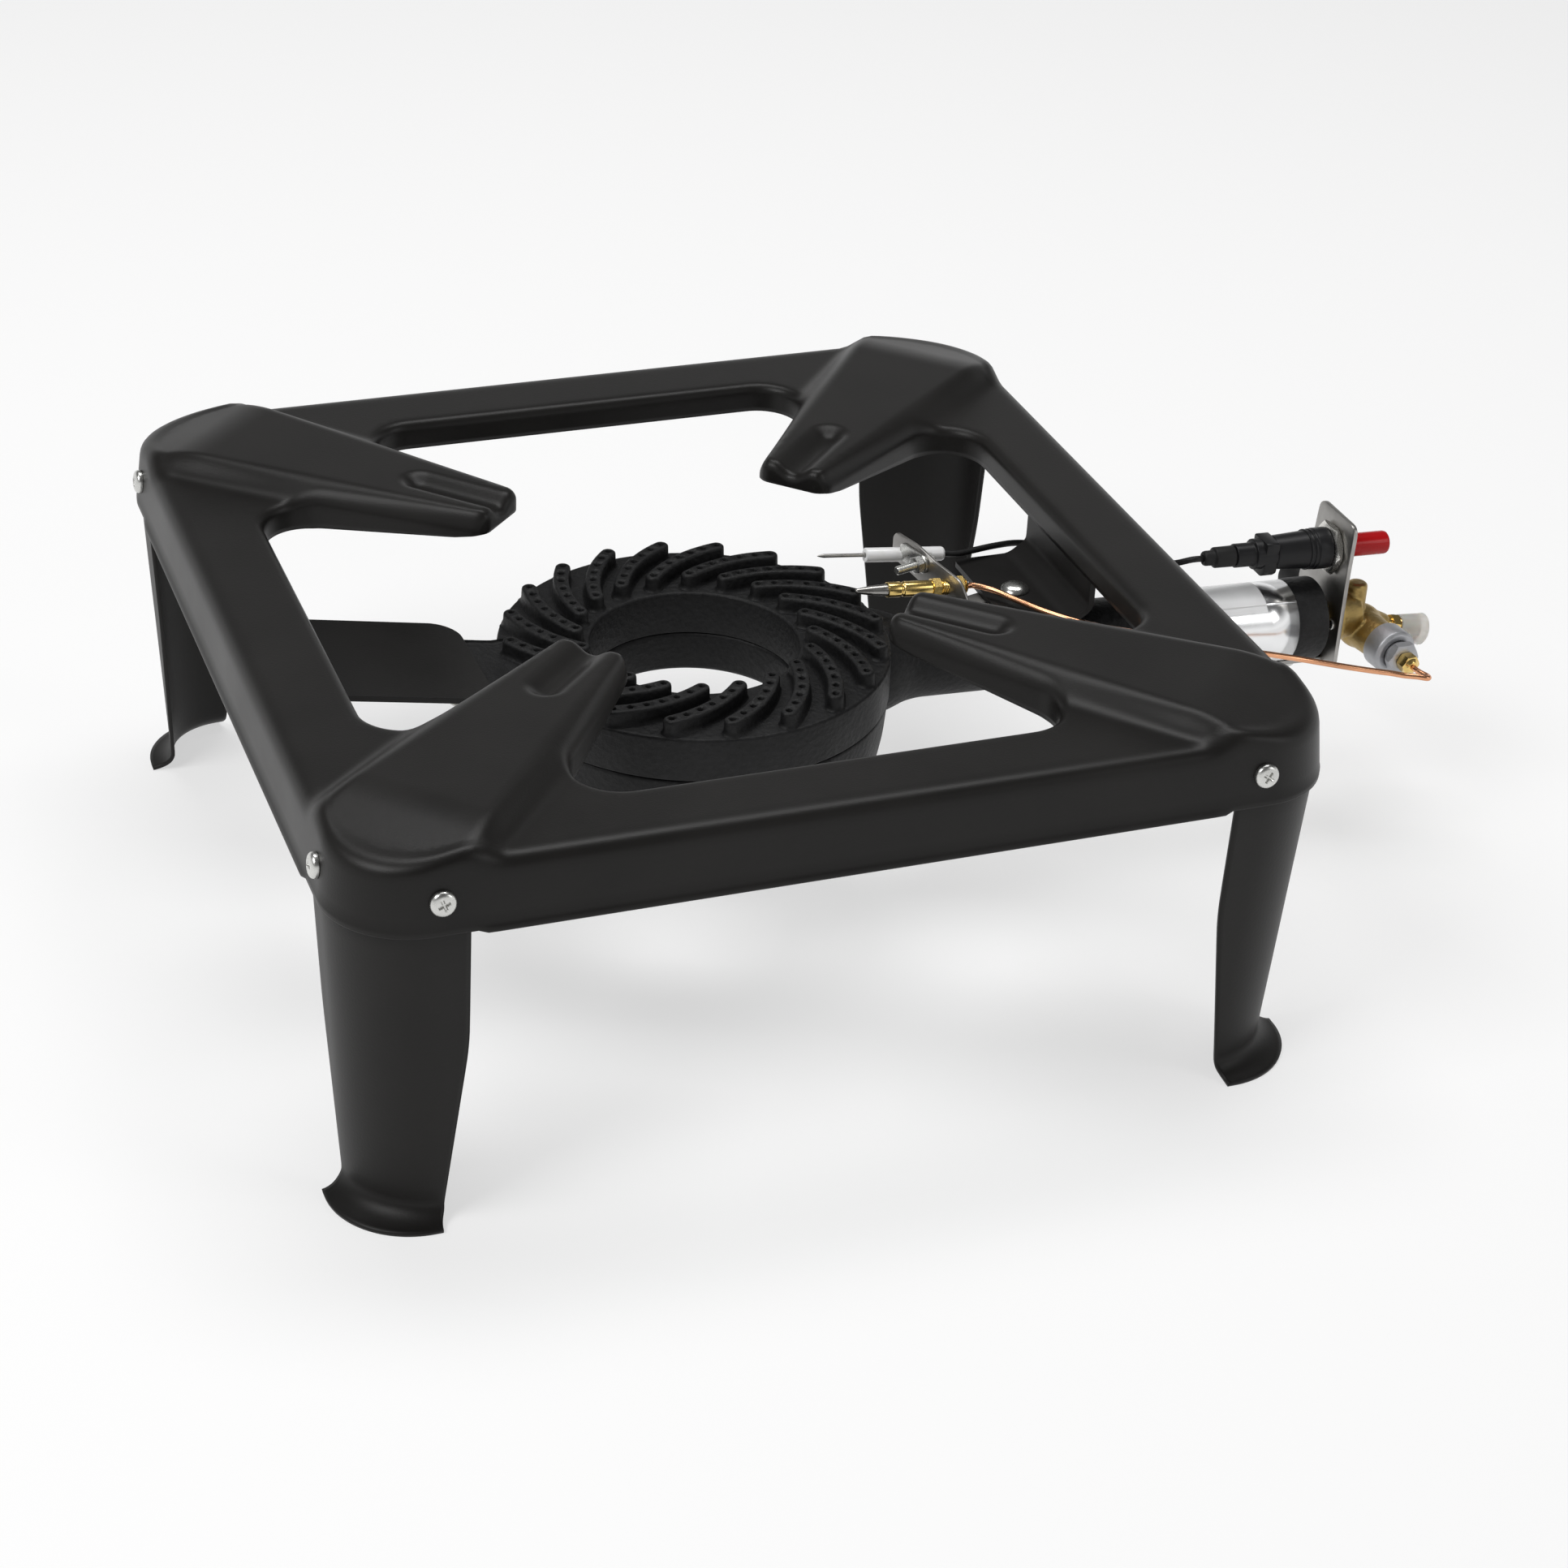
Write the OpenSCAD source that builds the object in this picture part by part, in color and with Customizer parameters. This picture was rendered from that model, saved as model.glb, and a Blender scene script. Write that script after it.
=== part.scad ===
// Square pressed-steel stool cooker with one cast-iron ring burner,
// piezo spark, flame probe and safety gas valve.
// Origin: centre of the square on the floor. X runs to the gas side, Z up.

/* [Frame] */
// Half width of the skirt at its bottom edge
skirt_half = 199.4; // [150:0.1:260]
// Height of the skirt's bottom edge
skirt_z = 131.6; // [100:0.1:200]
// Height of the flat band round the top
band_z = 158.4; // [120:0.1:230]
// Corner radius of the skirt
corner_r = 34; // [20:1:60]
// Thickness of the pressed sheet
sheet = 1.5; // [1:0.1:3]
// Width of the top band, from the skirt's bottom edge to the opening's wall
band_w = 37.4; // [25:0.1:70]
// Bottom of the opening's turned-down wall
flange_z = 146; // [120:0.5:200]
// Height of the four arms at their inner tips
arm_z = 164.8; // [140:0.1:240]
// Distance from the centre to an arm's tip
arm_tip = 91; // [60:1:130]
// Depth of the groove pressed into each arm
groove_depth = 3.8; // [1:0.1:8]

/* [Legs] */
// Width of a leg on each side of its corner, measured from the skirt
leg_w = 48.4; // [30:0.1:90]
// Height where the leg's free edge starts to slant
kink_z = 80; // [40:1:120]
// How far the legs lean in between the skirt and their feet
leg_lean = 7.9; // [0:0.1:30]
// Height of the flared foot
foot_h = 9; // [4:0.5:20]
// Height of the leg screws above the floor
screw_z = 145; // [120:0.5:200]
// Distance of the leg screws from the skirt's far side at the corner
screw_inset = 37.8; // [20:0.1:80]

/* [Burner] */
// Outer radius of the burner
burner_r = 82; // [50:0.5:120]
// Radius of the hole through the burner
burner_hole_r = 43.5; // [20:0.5:80]
// Height of the joint between the two castings
seam_z = 103; // [80:0.5:140]
// Height of the burner's top plate
plate_z = 122.5; // [90:0.5:160]
// Height of the ribs' tops
rib_z = 129; // [95:0.5:170]
// Number of ribs
ribs = 20; // [12:1:30]
// Width of a rib
rib_w = 6.8; // [4:0.1:10]
// Radius of a flame port
port_r = 1.25; // [0.6:0.05:2.5]

/* [Mixing tube] */
// Outer radius of the tube
tube_r = 17.5; // [10:0.1:30]
// Inner radius of the tube
tube_bore_r = 13.5; // [6:0.1:26]
// Distance from the skirt to the tube's open end
tube_past = 92.1; // [40:0.1:160]
// Fall of the tube towards its open end, in degrees
tube_fall = 2.3; // [0:0.1:6]

/* [Gas parts] */
// Distance from the tube's open end to the valve bracket
bracket_gap = 6.5; // [4:0.5:20]
// Thickness of the valve bracket
bracket_t = 2; // [1:0.1:4]
// Height of the spark unit above the tube's centre line
piezo_w = 33; // [20:0.5:60]
// Travel of the red spark button
piezo_travel = 7; // [3:0.5:12]
// Travel of the valve's push button
valve_travel = 5; // [2:0.5:10]

/* [Hidden] */
$fn = 64;
eps = 0.01;
lead_route = [[150, 34.5, 130.5], [164, 38.5, 128], [182, 38, 124], [197, 33, 121],
    [211, 22, 121.5], [222, 10, 124]];
tube_route = [[132, -5, 131], [138, -14, 130.5], [148, -29, 130], [162, -41, 128.5],
    [187, -43, 121.5], [223, -41, 109.5], [261, -38, 97], [286, -42, 91], [300, -44.5, 88],
    [308, -46, 86.5], [314, -48, 85.5], [319, -50.5, 85.5], [323, -52, 85], [324.5, -50, 84.5]];
draft_in = 2;
opening_half = skirt_half - band_w;
leg_edge = skirt_half - leg_w;
leg_half = skirt_half - leg_lean;
screw_at = skirt_half - screw_inset;
corner_reach = (skirt_half - corner_r) * sqrt(2) + corner_r;
tube_end = skirt_half + tube_past;
bracket_u = tube_end + bracket_gap;
levels = [[skirt_z, skirt_half], [band_z - 6.4, skirt_half - draft_in],
    [band_z - 2.4, skirt_half - 4.2], [band_z, skirt_half - 8.9]];
skirt_tilt = atan(draft_in / (levels[1][0] - levels[0][0]));
skirt_at_screw = skirt_half - (screw_z - skirt_z) * tan(skirt_tilt);
lip = 1;
lip_half = leg_edge - 4;
leg_gap = 0.35;
nut_gap = 1.6;
groove_half = 6.5;
groove_run = 39.5;
tip_r = 7;
tip_w = 10.2;
flank_turn = 9.6;
fillet_r = 18;
fillet_at = ((opening_half - fillet_r) * sqrt(2) - tip_w - (tip_r + fillet_r) / cos(flank_turn)
    + (arm_tip + tip_r) * tan(flank_turn)) / (1 + tan(flank_turn));
fillet_w = (opening_half - fillet_r) * sqrt(2) - fillet_at;
strap_t = 2.5;
strap_w = 66;
strap_slope = 10;
strap_gap = 0.2;
strap_x0 = -(opening_half + sheet + strap_gap);
strap_out = opening_half + sheet + strap_gap + strap_t;
strap_top = band_z - 4.9;
lug_end = burner_r + 12;
stud_x = -(burner_r + 17.5);
lug_z = 127.07;
strap_z0 = lug_z + (strap_out - lug_end) * tan(strap_slope);
ledge_z = 124.5;
coach_x = opening_half - 17.4;
tube_z0 = 104.95;
bell = 14.5;
tube_room = 0.6;
rib_in_r = 49.5;
rib_out_r = 77.1;
rib_sweep = 28;
rib_first = 154.3;
rib_bow = 60;
ring_floor = 85;
spark_tilt = 6.3;
spark_x = coach_x - 21.3;
probe_x = coach_x - 23.1;
plate_turn = 16;
probe_tilt = 4.9;
valve_u = bracket_u + 20.7;
valve_w = -7.6;
piezo_v = 2.5;
foot_z = ledge_z - 1.3;
head_r = 6.2;
valve_turn = 6;
inlet_dip = 13;

// A square with rounded corners; the radius follows the half width.
module rounded_square(h) {
    r = corner_r * h / skirt_half;
    square([2 * h, 2 * (h - r)], center = true);
    square([2 * (h - r), 2 * h], center = true);
    for (sx = [-1, 1], sy = [-1, 1])
        translate([sx * (h - r), sy * (h - r)]) circle(r);
}

// A solid built from square levels, each [height, half width].
module level_stack(l) {
    for (i = [0:len(l) - 2])
        translate([0, 0, l[i][0]])
            linear_extrude(height = l[i + 1][0] - l[i][0], scale = l[i + 1][1] / l[i][1])
                rounded_square(l[i][1]);
}

module on_arms() {
    for (a = [45:90:315]) rotate([0, 0, a]) children();
}

// The arm as a ridge: distance along the diagonal, half widths, heights.
module arm_ridge(inset, low) {
    s = [[arm_tip - 3, 18.5, 156, 12.7, arm_z],
        [arm_tip + 79, 33.3, band_z - 0.3, 21.9, arm_z + 0.8],
        [corner_reach - 39.4, 37.2, band_z - 0.3, 28.6, arm_z + 1.4],
        [corner_reach + 0.6, 41, band_z - 0.3, 34, band_z - 3]];
    p = [for (v = s) let (f = v[1] - inset, t = v[3] - inset * 0.6, k = v[0])
        each [[k, -f, low], [k, f, low], [k, f, v[2] - inset], [k, t, v[4] - inset],
            [k, -t, v[4] - inset], [k, -f, v[2] - inset]]];
    faces = concat([[0, 1, 2, 3, 4, 5]], [for (i = [0:2], j = [0:5])
        each [[i * 6 + j, (i + 1) * 6 + j, (i + 1) * 6 + (j + 1) % 6],
            [i * 6 + j, (i + 1) * 6 + (j + 1) % 6, i * 6 + (j + 1) % 6]]],
        [[23, 22, 21, 20, 19, 18]]);
    polyhedron(p, faces);
}

module arm_groove(grow, floor_z) {
    translate([arm_tip - 31, -groove_half - grow, floor_z])
        cube([groove_run + 31, 2 * (groove_half + grow), 20]);
    translate([arm_tip + groove_run, 0, floor_z]) cylinder(r = groove_half + grow, h = 20);
}

module frame_mass(inset) {
    difference() {
        union() {
            level_stack([for (l = levels) [l[0] - (l[0] > skirt_z ? inset : eps), l[1] - inset]]);
            intersection() {
                on_arms() arm_ridge(inset, skirt_z + 5);
                level_stack([[skirt_z, skirt_half - inset], [band_z + 14, skirt_half - 4.2 - inset]]);
            }
        }
        on_arms() arm_groove(inset, arm_z - groove_depth - inset);
    }
}

// The outline of the opening, grown outwards by d.
function opening_arm(d) = concat(
    [for (a = [45:-15.675:-80.5])
        [fillet_at + (fillet_r + d) * cos(a), -fillet_w - (fillet_r + d) * sin(a)]],
    [for (a = [-99.6:-20.1:-180])
        [arm_tip + tip_r + (tip_r - d) * cos(a), -tip_w + (tip_r - d) * sin(a)]],
    [for (a = [180:-20.1:99.5])
        [arm_tip + tip_r + (tip_r - d) * cos(a), tip_w + (tip_r - d) * sin(a)]],
    [for (a = [-80.4:15.675:45.1])
        [fillet_at + (fillet_r + d) * cos(a), fillet_w + (fillet_r + d) * sin(a)]]);
function turned(p, a) = [p[0] * cos(a) - p[1] * sin(a), p[0] * sin(a) + p[1] * cos(a)];
module opening(d) {
    polygon([for (q = [45:90:315]) for (p = opening_arm(d)) turned(p, q)]);
}

module at_leg_screws() {
    for (q = [0:90:270], s = [-1, 1])
        rotate([0, 0, q]) translate([s * screw_at, -skirt_at_screw, screw_z])
            rotate([90 - skirt_tilt, 0, 0]) children();
}

module top_frame() {
    color("#2b2a28") difference() {
        union() {
            difference() {
                frame_mass(0);
                frame_mass(sheet);
                translate([0, 0, 100]) linear_extrude(100) opening(0);
            }
            difference() {
                intersection() {
                    translate([0, 0, flange_z]) linear_extrude(40)
                        difference() { opening(sheet); opening(0); }
                    frame_mass(0);
                }
                on_arms() translate([0, 45, 0]) rotate([90, 0, 0]) linear_extrude(90)
                    polygon([[arm_tip - 11, 100], [arm_tip - 11, band_z - 3.9],
                        [arm_tip + 3, band_z - 4.9], [arm_tip + 75, flange_z],
                        [arm_tip + 75, 100]]);
            }
            for (q = [0:90:270]) rotate([0, 0, q])
                translate([lip_half, 0, 0]) rotate([90, 0, -90]) linear_extrude(2 * lip_half)
                    polygon([[skirt_half - 0.9, skirt_z], [skirt_half + lip, skirt_z - 0.9],
                        [skirt_half + lip, skirt_z], [skirt_half - 0.3, skirt_z + 2.5]]);
        }
        at_leg_screws() cylinder(r = 3.2, h = 12, center = true);
    }
}

// One quarter of a sheet ring between two heights and half widths.
module leg_ring(z0, h0, z1, h1, t) {
    difference() {
        translate([0, 0, z0]) linear_extrude(height = z1 - z0, scale = h1 / h0) rounded_square(h0);
        translate([0, 0, z0 - eps]) linear_extrude(height = z1 - z0 + 2 * eps,
            scale = (h1 - t) / (h0 - t)) rounded_square(h0 - t);
    }
}

module leg() {
    top = skirt_half - sheet - leg_gap;
    slope = draft_in / (levels[1][0] - levels[0][0]);
    side_cut = [[leg_edge + 11, -1], [leg_edge + 9, 8], [leg_edge, kink_z],
        [leg_edge, 143], [leg_edge + 7, 151], [leg_edge + 64, 151], [leg_edge + 64, -1]];
    difference() {
        intersection() {
            union() {
                leg_ring(skirt_z, top, 150, top - (150 - skirt_z) * slope, sheet);
                leg_ring(foot_h, leg_half, skirt_z, top, sheet);
                leg_ring(4, leg_half + 2.6, foot_h, leg_half, 1.8);
                leg_ring(1.5, leg_half + 5.4, 4, leg_half + 2.6, 2.6);
                leg_ring(0, leg_half + 8.5, 1.5, leg_half + 5.4, 4.4);
            }
            translate([0, skirt_half + 20, 0]) rotate([90, 0, 0])
                linear_extrude(skirt_half + 20) polygon(side_cut);
            rotate([90, 0, 90]) linear_extrude(skirt_half + 20) polygon(side_cut);
        }
        at_leg_screws() cylinder(r = 3.4, h = 30, center = true);
    }
}

module leg_front_left() { color("#2b2a28") rotate([0, 0, 180]) leg(); }
module leg_front_right() { color("#2b2a28") rotate([0, 0, 270]) leg(); }
module leg_back_right() { color("#2b2a28") leg(); }
module leg_back_left() { color("#2b2a28") rotate([0, 0, 90]) leg(); }

module leg_screws() {
    color("#c9c9c7") at_leg_screws() difference() {
        union() {
            translate([0, 0, 0.1]) cylinder(r = 5, h = 1.8);
            translate([0, 0, 1.9]) cylinder(r1 = 5, r2 = 3.2, h = 1.3);
            translate([0, 0, -11]) cylinder(r = 2.95, h = 11.2);
        }
        for (a = [0, 90]) rotate([0, 0, a]) translate([-2.4, -0.5, 1.7]) cube([4.8, 1, 3]);
    }
}

module hex_nut(af, bore, h) {
    difference() {
        cylinder(r = af / sqrt(3), h = h, $fn = 6);
        translate([0, 0, -eps]) cylinder(r = bore, h = h + 2 * eps);
    }
}

module leg_nuts() {
    color("#b9b9b7") at_leg_screws()
        translate([0, 0, -2 * sheet - leg_gap - nut_gap - 4.6]) hex_nut(10, 3, 4.6);
}

// Left support: hooks up behind the opening's wall, then runs down to the lug.
module support_left() {
    drop = strap_z0 - lug_z;
    color("#2f2e2c") difference() {
        translate([0, strap_w / 2, 0]) rotate([90, 0, 0]) linear_extrude(strap_w)
            polygon([[-strap_out, strap_top], [-strap_out, strap_z0 - 1.6],
                [1 - strap_out, strap_z0 - 2.4], [-lug_end, lug_z - strap_t],
                [-lug_end, lug_z], [strap_x0, strap_z0 + 0.4], [strap_x0, strap_top]]);
        for (s = [-1, 1]) translate([-lug_end, s * strap_w / 2, 110]) difference() {
            translate([-12, -12, 0]) cube([24, 24, 40]);
            translate([-12, -s * 12, -1]) cylinder(r = 12, h = 42);
            translate([-30, -30, -1]) cube([18, 60, 42]);
            translate([-30, s > 0 ? -40 : 12, -1]) cube([60, 28, 42]);
        }
    }
}

module at_stud() {
    z = strap_z0 - strap_t - (stud_x + strap_out) * tan(strap_slope);
    translate([stud_x, 0, z]) rotate([0, strap_slope, 0]) children();
}

module support_stud() {
    color("#b9b9b7") at_stud() translate([0, 0, -17.5]) cylinder(r = 2.9, h = 17.3);
}

module support_stud_nut() {
    color("#b9b9b7") at_stud() translate([0, 0, -15]) hex_nut(10, 3, 4.6);
}

// Right support: a stepped plate that carries the tube's boss.
module support_right() {
    x1 = -strap_x0;
    color("#2f2e2c") difference() {
        translate([0, strap_w / 2, 0]) rotate([90, 0, 0]) linear_extrude(strap_w)
            polygon([[coach_x - 14.6, ledge_z], [coach_x + 11.9, ledge_z],
                [strap_out, ledge_z + 6.5], [strap_out, strap_top], [x1, strap_top],
                [x1, ledge_z + 7.9], [coach_x + 10.9, ledge_z + strap_t],
                [coach_x - 14.6, ledge_z + strap_t]]);
        translate([coach_x, 0, 110]) cylinder(r = 3.3, h = 30);
    }
}

// Places children at tube distance u, height w over the tube's centre line;
// their Z then points along the tube to its open end.
module at_u(u, w = 0, v = 0) {
    translate([0, 0, tube_z0]) rotate([0, tube_fall, 0]) translate([u, v, w]) rotate([0, 90, 0]) children();
}

module channel_room(top) {
    rotate_extrude($fn = 96) polygon([[burner_hole_r + 4, ring_floor + 4], [64.5, ring_floor + 4],
        [72, 80.6], [75, 80], [76.4, 88], [burner_r - 4.2, seam_z - 1], [burner_r - 4.2, top],
        [burner_hole_r + 4, top]]);
}

module joint_spots() {
    for (a = [90, 210, 330]) rotate([0, 0, a])
        translate([(burner_hole_r + burner_r) / 2 - 5.75, 0, 0]) children();
}

module burner_base() {
    color("#26272a") difference() {
        union() {
            difference() {
                union() {
                    rotate_extrude($fn = 96) polygon([[burner_hole_r, seam_z],
                        [burner_hole_r, ring_floor + 1.5], [burner_hole_r + 1.5, ring_floor],
                        [63.5, ring_floor], [71, 76.5], [76, 75.2], [79, 78.5], [80.6, 88],
                        [burner_r - 0.3, seam_z]]);
                    at_u(66) cylinder(r = tube_r, h = tube_end - 66);
                    at_u(78) cylinder(r1 = tube_r + 5, r2 = tube_r, h = 16);
                    at_u(tube_end - bell) cylinder(r = tube_r + 0.9, h = bell);
                    translate([coach_x, 0, tube_z0 - 4]) cylinder(r = 9, h = foot_z - 0.1 - tube_z0 + 4);
                }
                channel_room(140);
                at_u(60) cylinder(r = tube_bore_r, h = tube_end - 50);
                at_u(tube_end - 14) cylinder(r1 = tube_bore_r, r2 = 16, h = 14.1);
            }
            joint_spots() translate([0, 0, ring_floor + 1]) cylinder(r = 5.5, h = seam_z - ring_floor - 1);
        }
        joint_spots() translate([0, 0, 70]) cylinder(r = 2.4, h = 50);
        translate([coach_x, 0, 114.6]) cylinder(r = 3, h = 20);
        at_u(tube_end - 8.5) rotate([0, 90, 0]) translate([0, 0, 13]) cylinder(r = 2, h = 8);
    }
}

// One rib: a bowed bar with round ends from the outer to the inner port.
function rib_end_a() = [rib_out_r, 0];
function rib_end_b() = [rib_in_r * cos(rib_sweep), rib_in_r * sin(rib_sweep)];
function rib_centre() = let (a = rib_end_a(), b = rib_end_b(), m = (a + b) / 2, d = b - a,
    l = norm(d), n = [d[1], -d[0]] / l, k = sqrt(rib_bow * rib_bow - l * l / 4)) m - n * k;
function rib_angle(p) = let (c = rib_centre()) atan2(p[1] - c[1], p[0] - c[0]);
function rib_point(f) = let (c = rib_centre(), a0 = rib_angle(rib_end_a()),
    a1 = rib_angle(rib_end_b()), a = a0 + (a1 - a0) * f) c + rib_bow * [cos(a), sin(a)];
module rib_shape() {
    c = rib_centre();
    a0 = rib_angle(rib_end_a());
    a1 = rib_angle(rib_end_b());
    h = rib_z - plate_z + 1;
    translate([c[0], c[1], plate_z - 1]) rotate([0, 0, min(a0, a1)])
        rotate_extrude(angle = abs(a1 - a0), $fn = 120)
            translate([rib_bow - rib_w / 2, 0]) square([rib_w, h]);
    for (p = [rib_end_a(), rib_end_b()])
        translate([p[0], p[1], plate_z - 1]) cylinder(r = rib_w / 2, h = h, $fn = 32);
}
module rib_ports() {
    for (i = [0:6]) let (p = rib_point(i / 6))
        translate([p[0], p[1], plate_z - 8]) cylinder(r = port_r, h = 20, $fn = 16);
}

module burner_head() {
    r = burner_r;
    color("#26272a") difference() {
        union() {
            difference() {
                union() {
                    rotate_extrude($fn = 96) polygon([[burner_hole_r, seam_z], [burner_hole_r, plate_z - 1],
                        [burner_hole_r + 1, plate_z], [r - 1.2, plate_z], [r, plate_z - 1.2],
                        [r, seam_z + 1], [r - 0.5, seam_z]]);
                    translate([0, 28, 0]) rotate([90, 0, 0]) linear_extrude(56) lug_side();
                }
                channel_room(plate_z - 4.5);
                at_u(60) cylinder(r = tube_r + tube_room, h = 40);
                at_u(77.5) cylinder(r1 = tube_r + 5 + tube_room, r2 = tube_r + tube_room, h = 17);
            }
            joint_spots() translate([0, 0, seam_z]) cylinder(r = 5.5, h = plate_z - seam_z - 1);
        }
        joint_spots() translate([0, 0, seam_z - 1]) cylinder(r = 2.1, h = 12);
        at_stud() translate([0, 0, -30]) cylinder(r = 3.3, h = 40);
        for (i = [0:ribs - 1]) rotate([0, 0, rib_first - i * 360 / ribs]) rib_ports();
    }
    color("#26272a") difference() {
        for (i = [0:ribs - 1]) rotate([0, 0, rib_first - i * 360 / ribs]) rib_shape();
        for (i = [0:ribs - 1]) rotate([0, 0, rib_first - i * 360 / ribs]) rib_ports();
    }
}

// Side view of the lug under the left support; its top lies along the support.
module lug_side() {
    f = function(x) strap_z0 - strap_t - 0.1 - (x + strap_out) * tan(strap_slope);
    a = -burner_r - 4;
    b = -burner_r - 22;
    polygon([[6 - burner_r, f(a) - 7.5], [a, f(a) - 9], [b, f(b) - 9], [b, f(b)],
        [a, f(a)], [-burner_r, plate_z], [6 - burner_r, plate_z]]);
}

module burner_joint_screws() {
    color("#8f8f8c") joint_spots() {
        translate([0, 0, ring_floor - 3.1]) cylinder(r = 4.2, h = 3);
        translate([0, 0, ring_floor - 0.5]) cylinder(r = 2, h = seam_z - ring_floor + 10.5);
    }
}

module coach_screw() {
    color("#c4c4c2") translate([coach_x, 0, ledge_z + strap_t + 0.05]) {
        difference() {
            scale([1, 1, 0.5]) sphere(r = head_r);
            translate([-head_r, -head_r, -head_r - 1]) cube([2 * head_r, 2 * head_r, head_r + 1]);
        }
        translate([0, 0, -11.7]) cylinder(r = 2.9, h = 11.9);
    }
}

module tube_sleeve() {
    color("#d8d9da") at_u(tube_end - bell - 55) difference() {
        cylinder(r = tube_r + 0.9, h = 54.5);
        translate([0, 0, -1]) cylinder(r = tube_r + 0.1, h = 57);
    }
}

// Valve bracket: an upright plate with a tongue that bends in under the tube.
module valve_bracket() {
    tongue_w = -(tube_r + 0.9) - 0.05;
    color("#b8b8b4") difference() {
        union() {
            at_u(bracket_u) rotate([0, 0, 90]) linear_extrude(bracket_t) bracket_face();
            translate([0, 0, tube_z0]) rotate([0, tube_fall, 0])
                translate([bracket_u - 30, -5, tongue_w - bracket_t])
                    cube([30 + bracket_t, 16, bracket_t]);
        }
        at_u(bracket_u - 1, piezo_w, piezo_v) cylinder(r = 7.2, h = 5);
        at_u(bracket_u - 1) cylinder(r = 5.9, h = 5);
        at_u(tube_end - 8.5) rotate([0, 90, 0]) cylinder(r = 2.3, h = 30);
        for (s = [-1, 1]) at_u(bracket_u - 1, 0, 3 + s * 11.5) cylinder(r = 1.7, h = 5);
    }
}
// The plate's outline, across the tube and up.
module bracket_face() {
    r = 5;
    module spot(x, y, q) translate([x, y]) circle(q);
    hull() {
        spot(13.5, 44.5, r); spot(-8.5, 44.5, r);
        spot(15, 24, r); spot(-8.5, 24, r);
    }
    hull() { spot(15, 24, r); spot(-8.5, 24, r); spot(-11, -15, 5); spot(15, -15, 5); }
    hull() { spot(15, 20, r); spot(22, 8, r); spot(15, -2, r); }
}

module bracket_screw() {
    color("#c4c4c2") at_u(tube_end - 8.5) rotate([0, 90, 0]) {
        translate([0, 0, tube_r + 0.9 + 0.1 + bracket_t]) cylinder(r = 3.8, h = 2.6);
        translate([0, 0, 14.2]) cylinder(r = 1.95, h = tube_r + 0.9 + 0.2 + bracket_t - 14.2);
    }
}

module gas_jet() {
    color("#c8a550") at_u(bracket_u) difference() {
        union() {
            translate([0, 0, -10]) cylinder(r = 4.6, h = 5.5, $fn = 6);
            translate([0, 0, -16]) cylinder(r1 = 1.8, r2 = 3, h = 6.1);
        }
        translate([0, 0, -20]) cylinder(r = 0.5, h = 20, $fn = 24);
    }
}

module in_valve() {
    translate([0, 0, tube_z0]) rotate([0, tube_fall, 0]) translate([valve_u, 1, valve_w]) children();
}
// Z then points out of the valve's magnet end.
module valve_axis() {
    in_valve() rotate([0, 0, valve_turn]) rotate([90, 0, 0]) children();
}
module inlet_axis() {
    in_valve() translate([0, 1, 2]) rotate([0, 90 + inlet_dip, 0]) children();
}

module valve_body() {
    color("#b5944a") difference() {
        union() {
            at_u(bracket_u - 4.4) cylinder(r = 5.6, h = 12);
            at_u(bracket_u + bracket_t + 0.1) cylinder(r = 12.6, h = 3.5);
            at_u(bracket_u + bracket_t + 3.5) cylinder(r1 = 12.6, r2 = 9, h = 11);
            valve_axis() sphere(r = 10.4);
            in_valve() translate([-5, 0, 0]) cylinder(r = 5, h = 21);
            in_valve() translate([-5, 0, 20.9]) cylinder(r1 = 5, r2 = 3, h = 2);
            valve_axis() translate([0, 0, -34]) cylinder(r = 7.6, h = 34);
            valve_axis() cylinder(r1 = 9.5, r2 = 8.6, h = 18);
            inlet_axis() cylinder(r1 = 7.5, r2 = 4.4, h = 13);
            inlet_axis() cylinder(r = 3.6, h = 17);
            inlet_axis() translate([0, 0, 16]) cylinder(r = 4.6, h = 4, $fn = 6);
            inlet_axis() translate([0, 0, 19.9]) cylinder(r = 3.9, h = 9);
        }
        at_u(bracket_u - 5) cylinder(r = 2, h = 20);
        inlet_axis() translate([0, 0, 8]) cylinder(r = 1.8, h = 30);
        valve_axis() translate([0, 0, -40]) cylinder(r = 5.2, h = 28);
        for (s = [-1, 1]) at_u(bracket_u, 0, 3 + s * 11.5) cylinder(r = 1.7, h = 12);
    }
}

module valve_rivets() {
    color("#b9b9b7") for (s = [-1, 1]) at_u(bracket_u - 1.7, 0, 3 + s * 11.5) {
        cylinder(r = 2.6, h = 1.6);
        translate([0, 0, 1.5]) cylinder(r = 1.5, h = 5);
    }
}

module inlet_cap() {
    color("#e6e2d8") inlet_axis() translate([0, 0, 20.6]) difference() {
        cylinder(r1 = 5.2, r2 = 7.4, h = 13);
        translate([0, 0, -1]) cylinder(r = 4.1, h = 9.6);
        translate([0, 0, 9.5]) cylinder(r1 = 5.2, r2 = 6.4, h = 4);
    }
}

module magnet_housing() {
    color("#cfd0d0") valve_axis() difference() {
        union() {
            translate([0, 0, 18.2]) cylinder(r = 10.6, h = 9.5);
            translate([0, 0, 27.6]) cylinder(r1 = 10.6, r2 = 9.2, h = 1.4);
        }
        translate([0, 0, 26.5]) cylinder(r = 6.6, h = 5);
    }
}

module magnet_plug() {
    color("#c2c3c4") valve_axis() difference() {
        union() {
            translate([0, 0, 26.7]) cylinder(r = 6.4, h = 4);
            translate([0, 0, 30.6]) cylinder(r = 8.2, h = 4.4, $fn = 6);
        }
        translate([0, 0, 31]) cylinder(r = 3.4, h = 6);
    }
}

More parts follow.
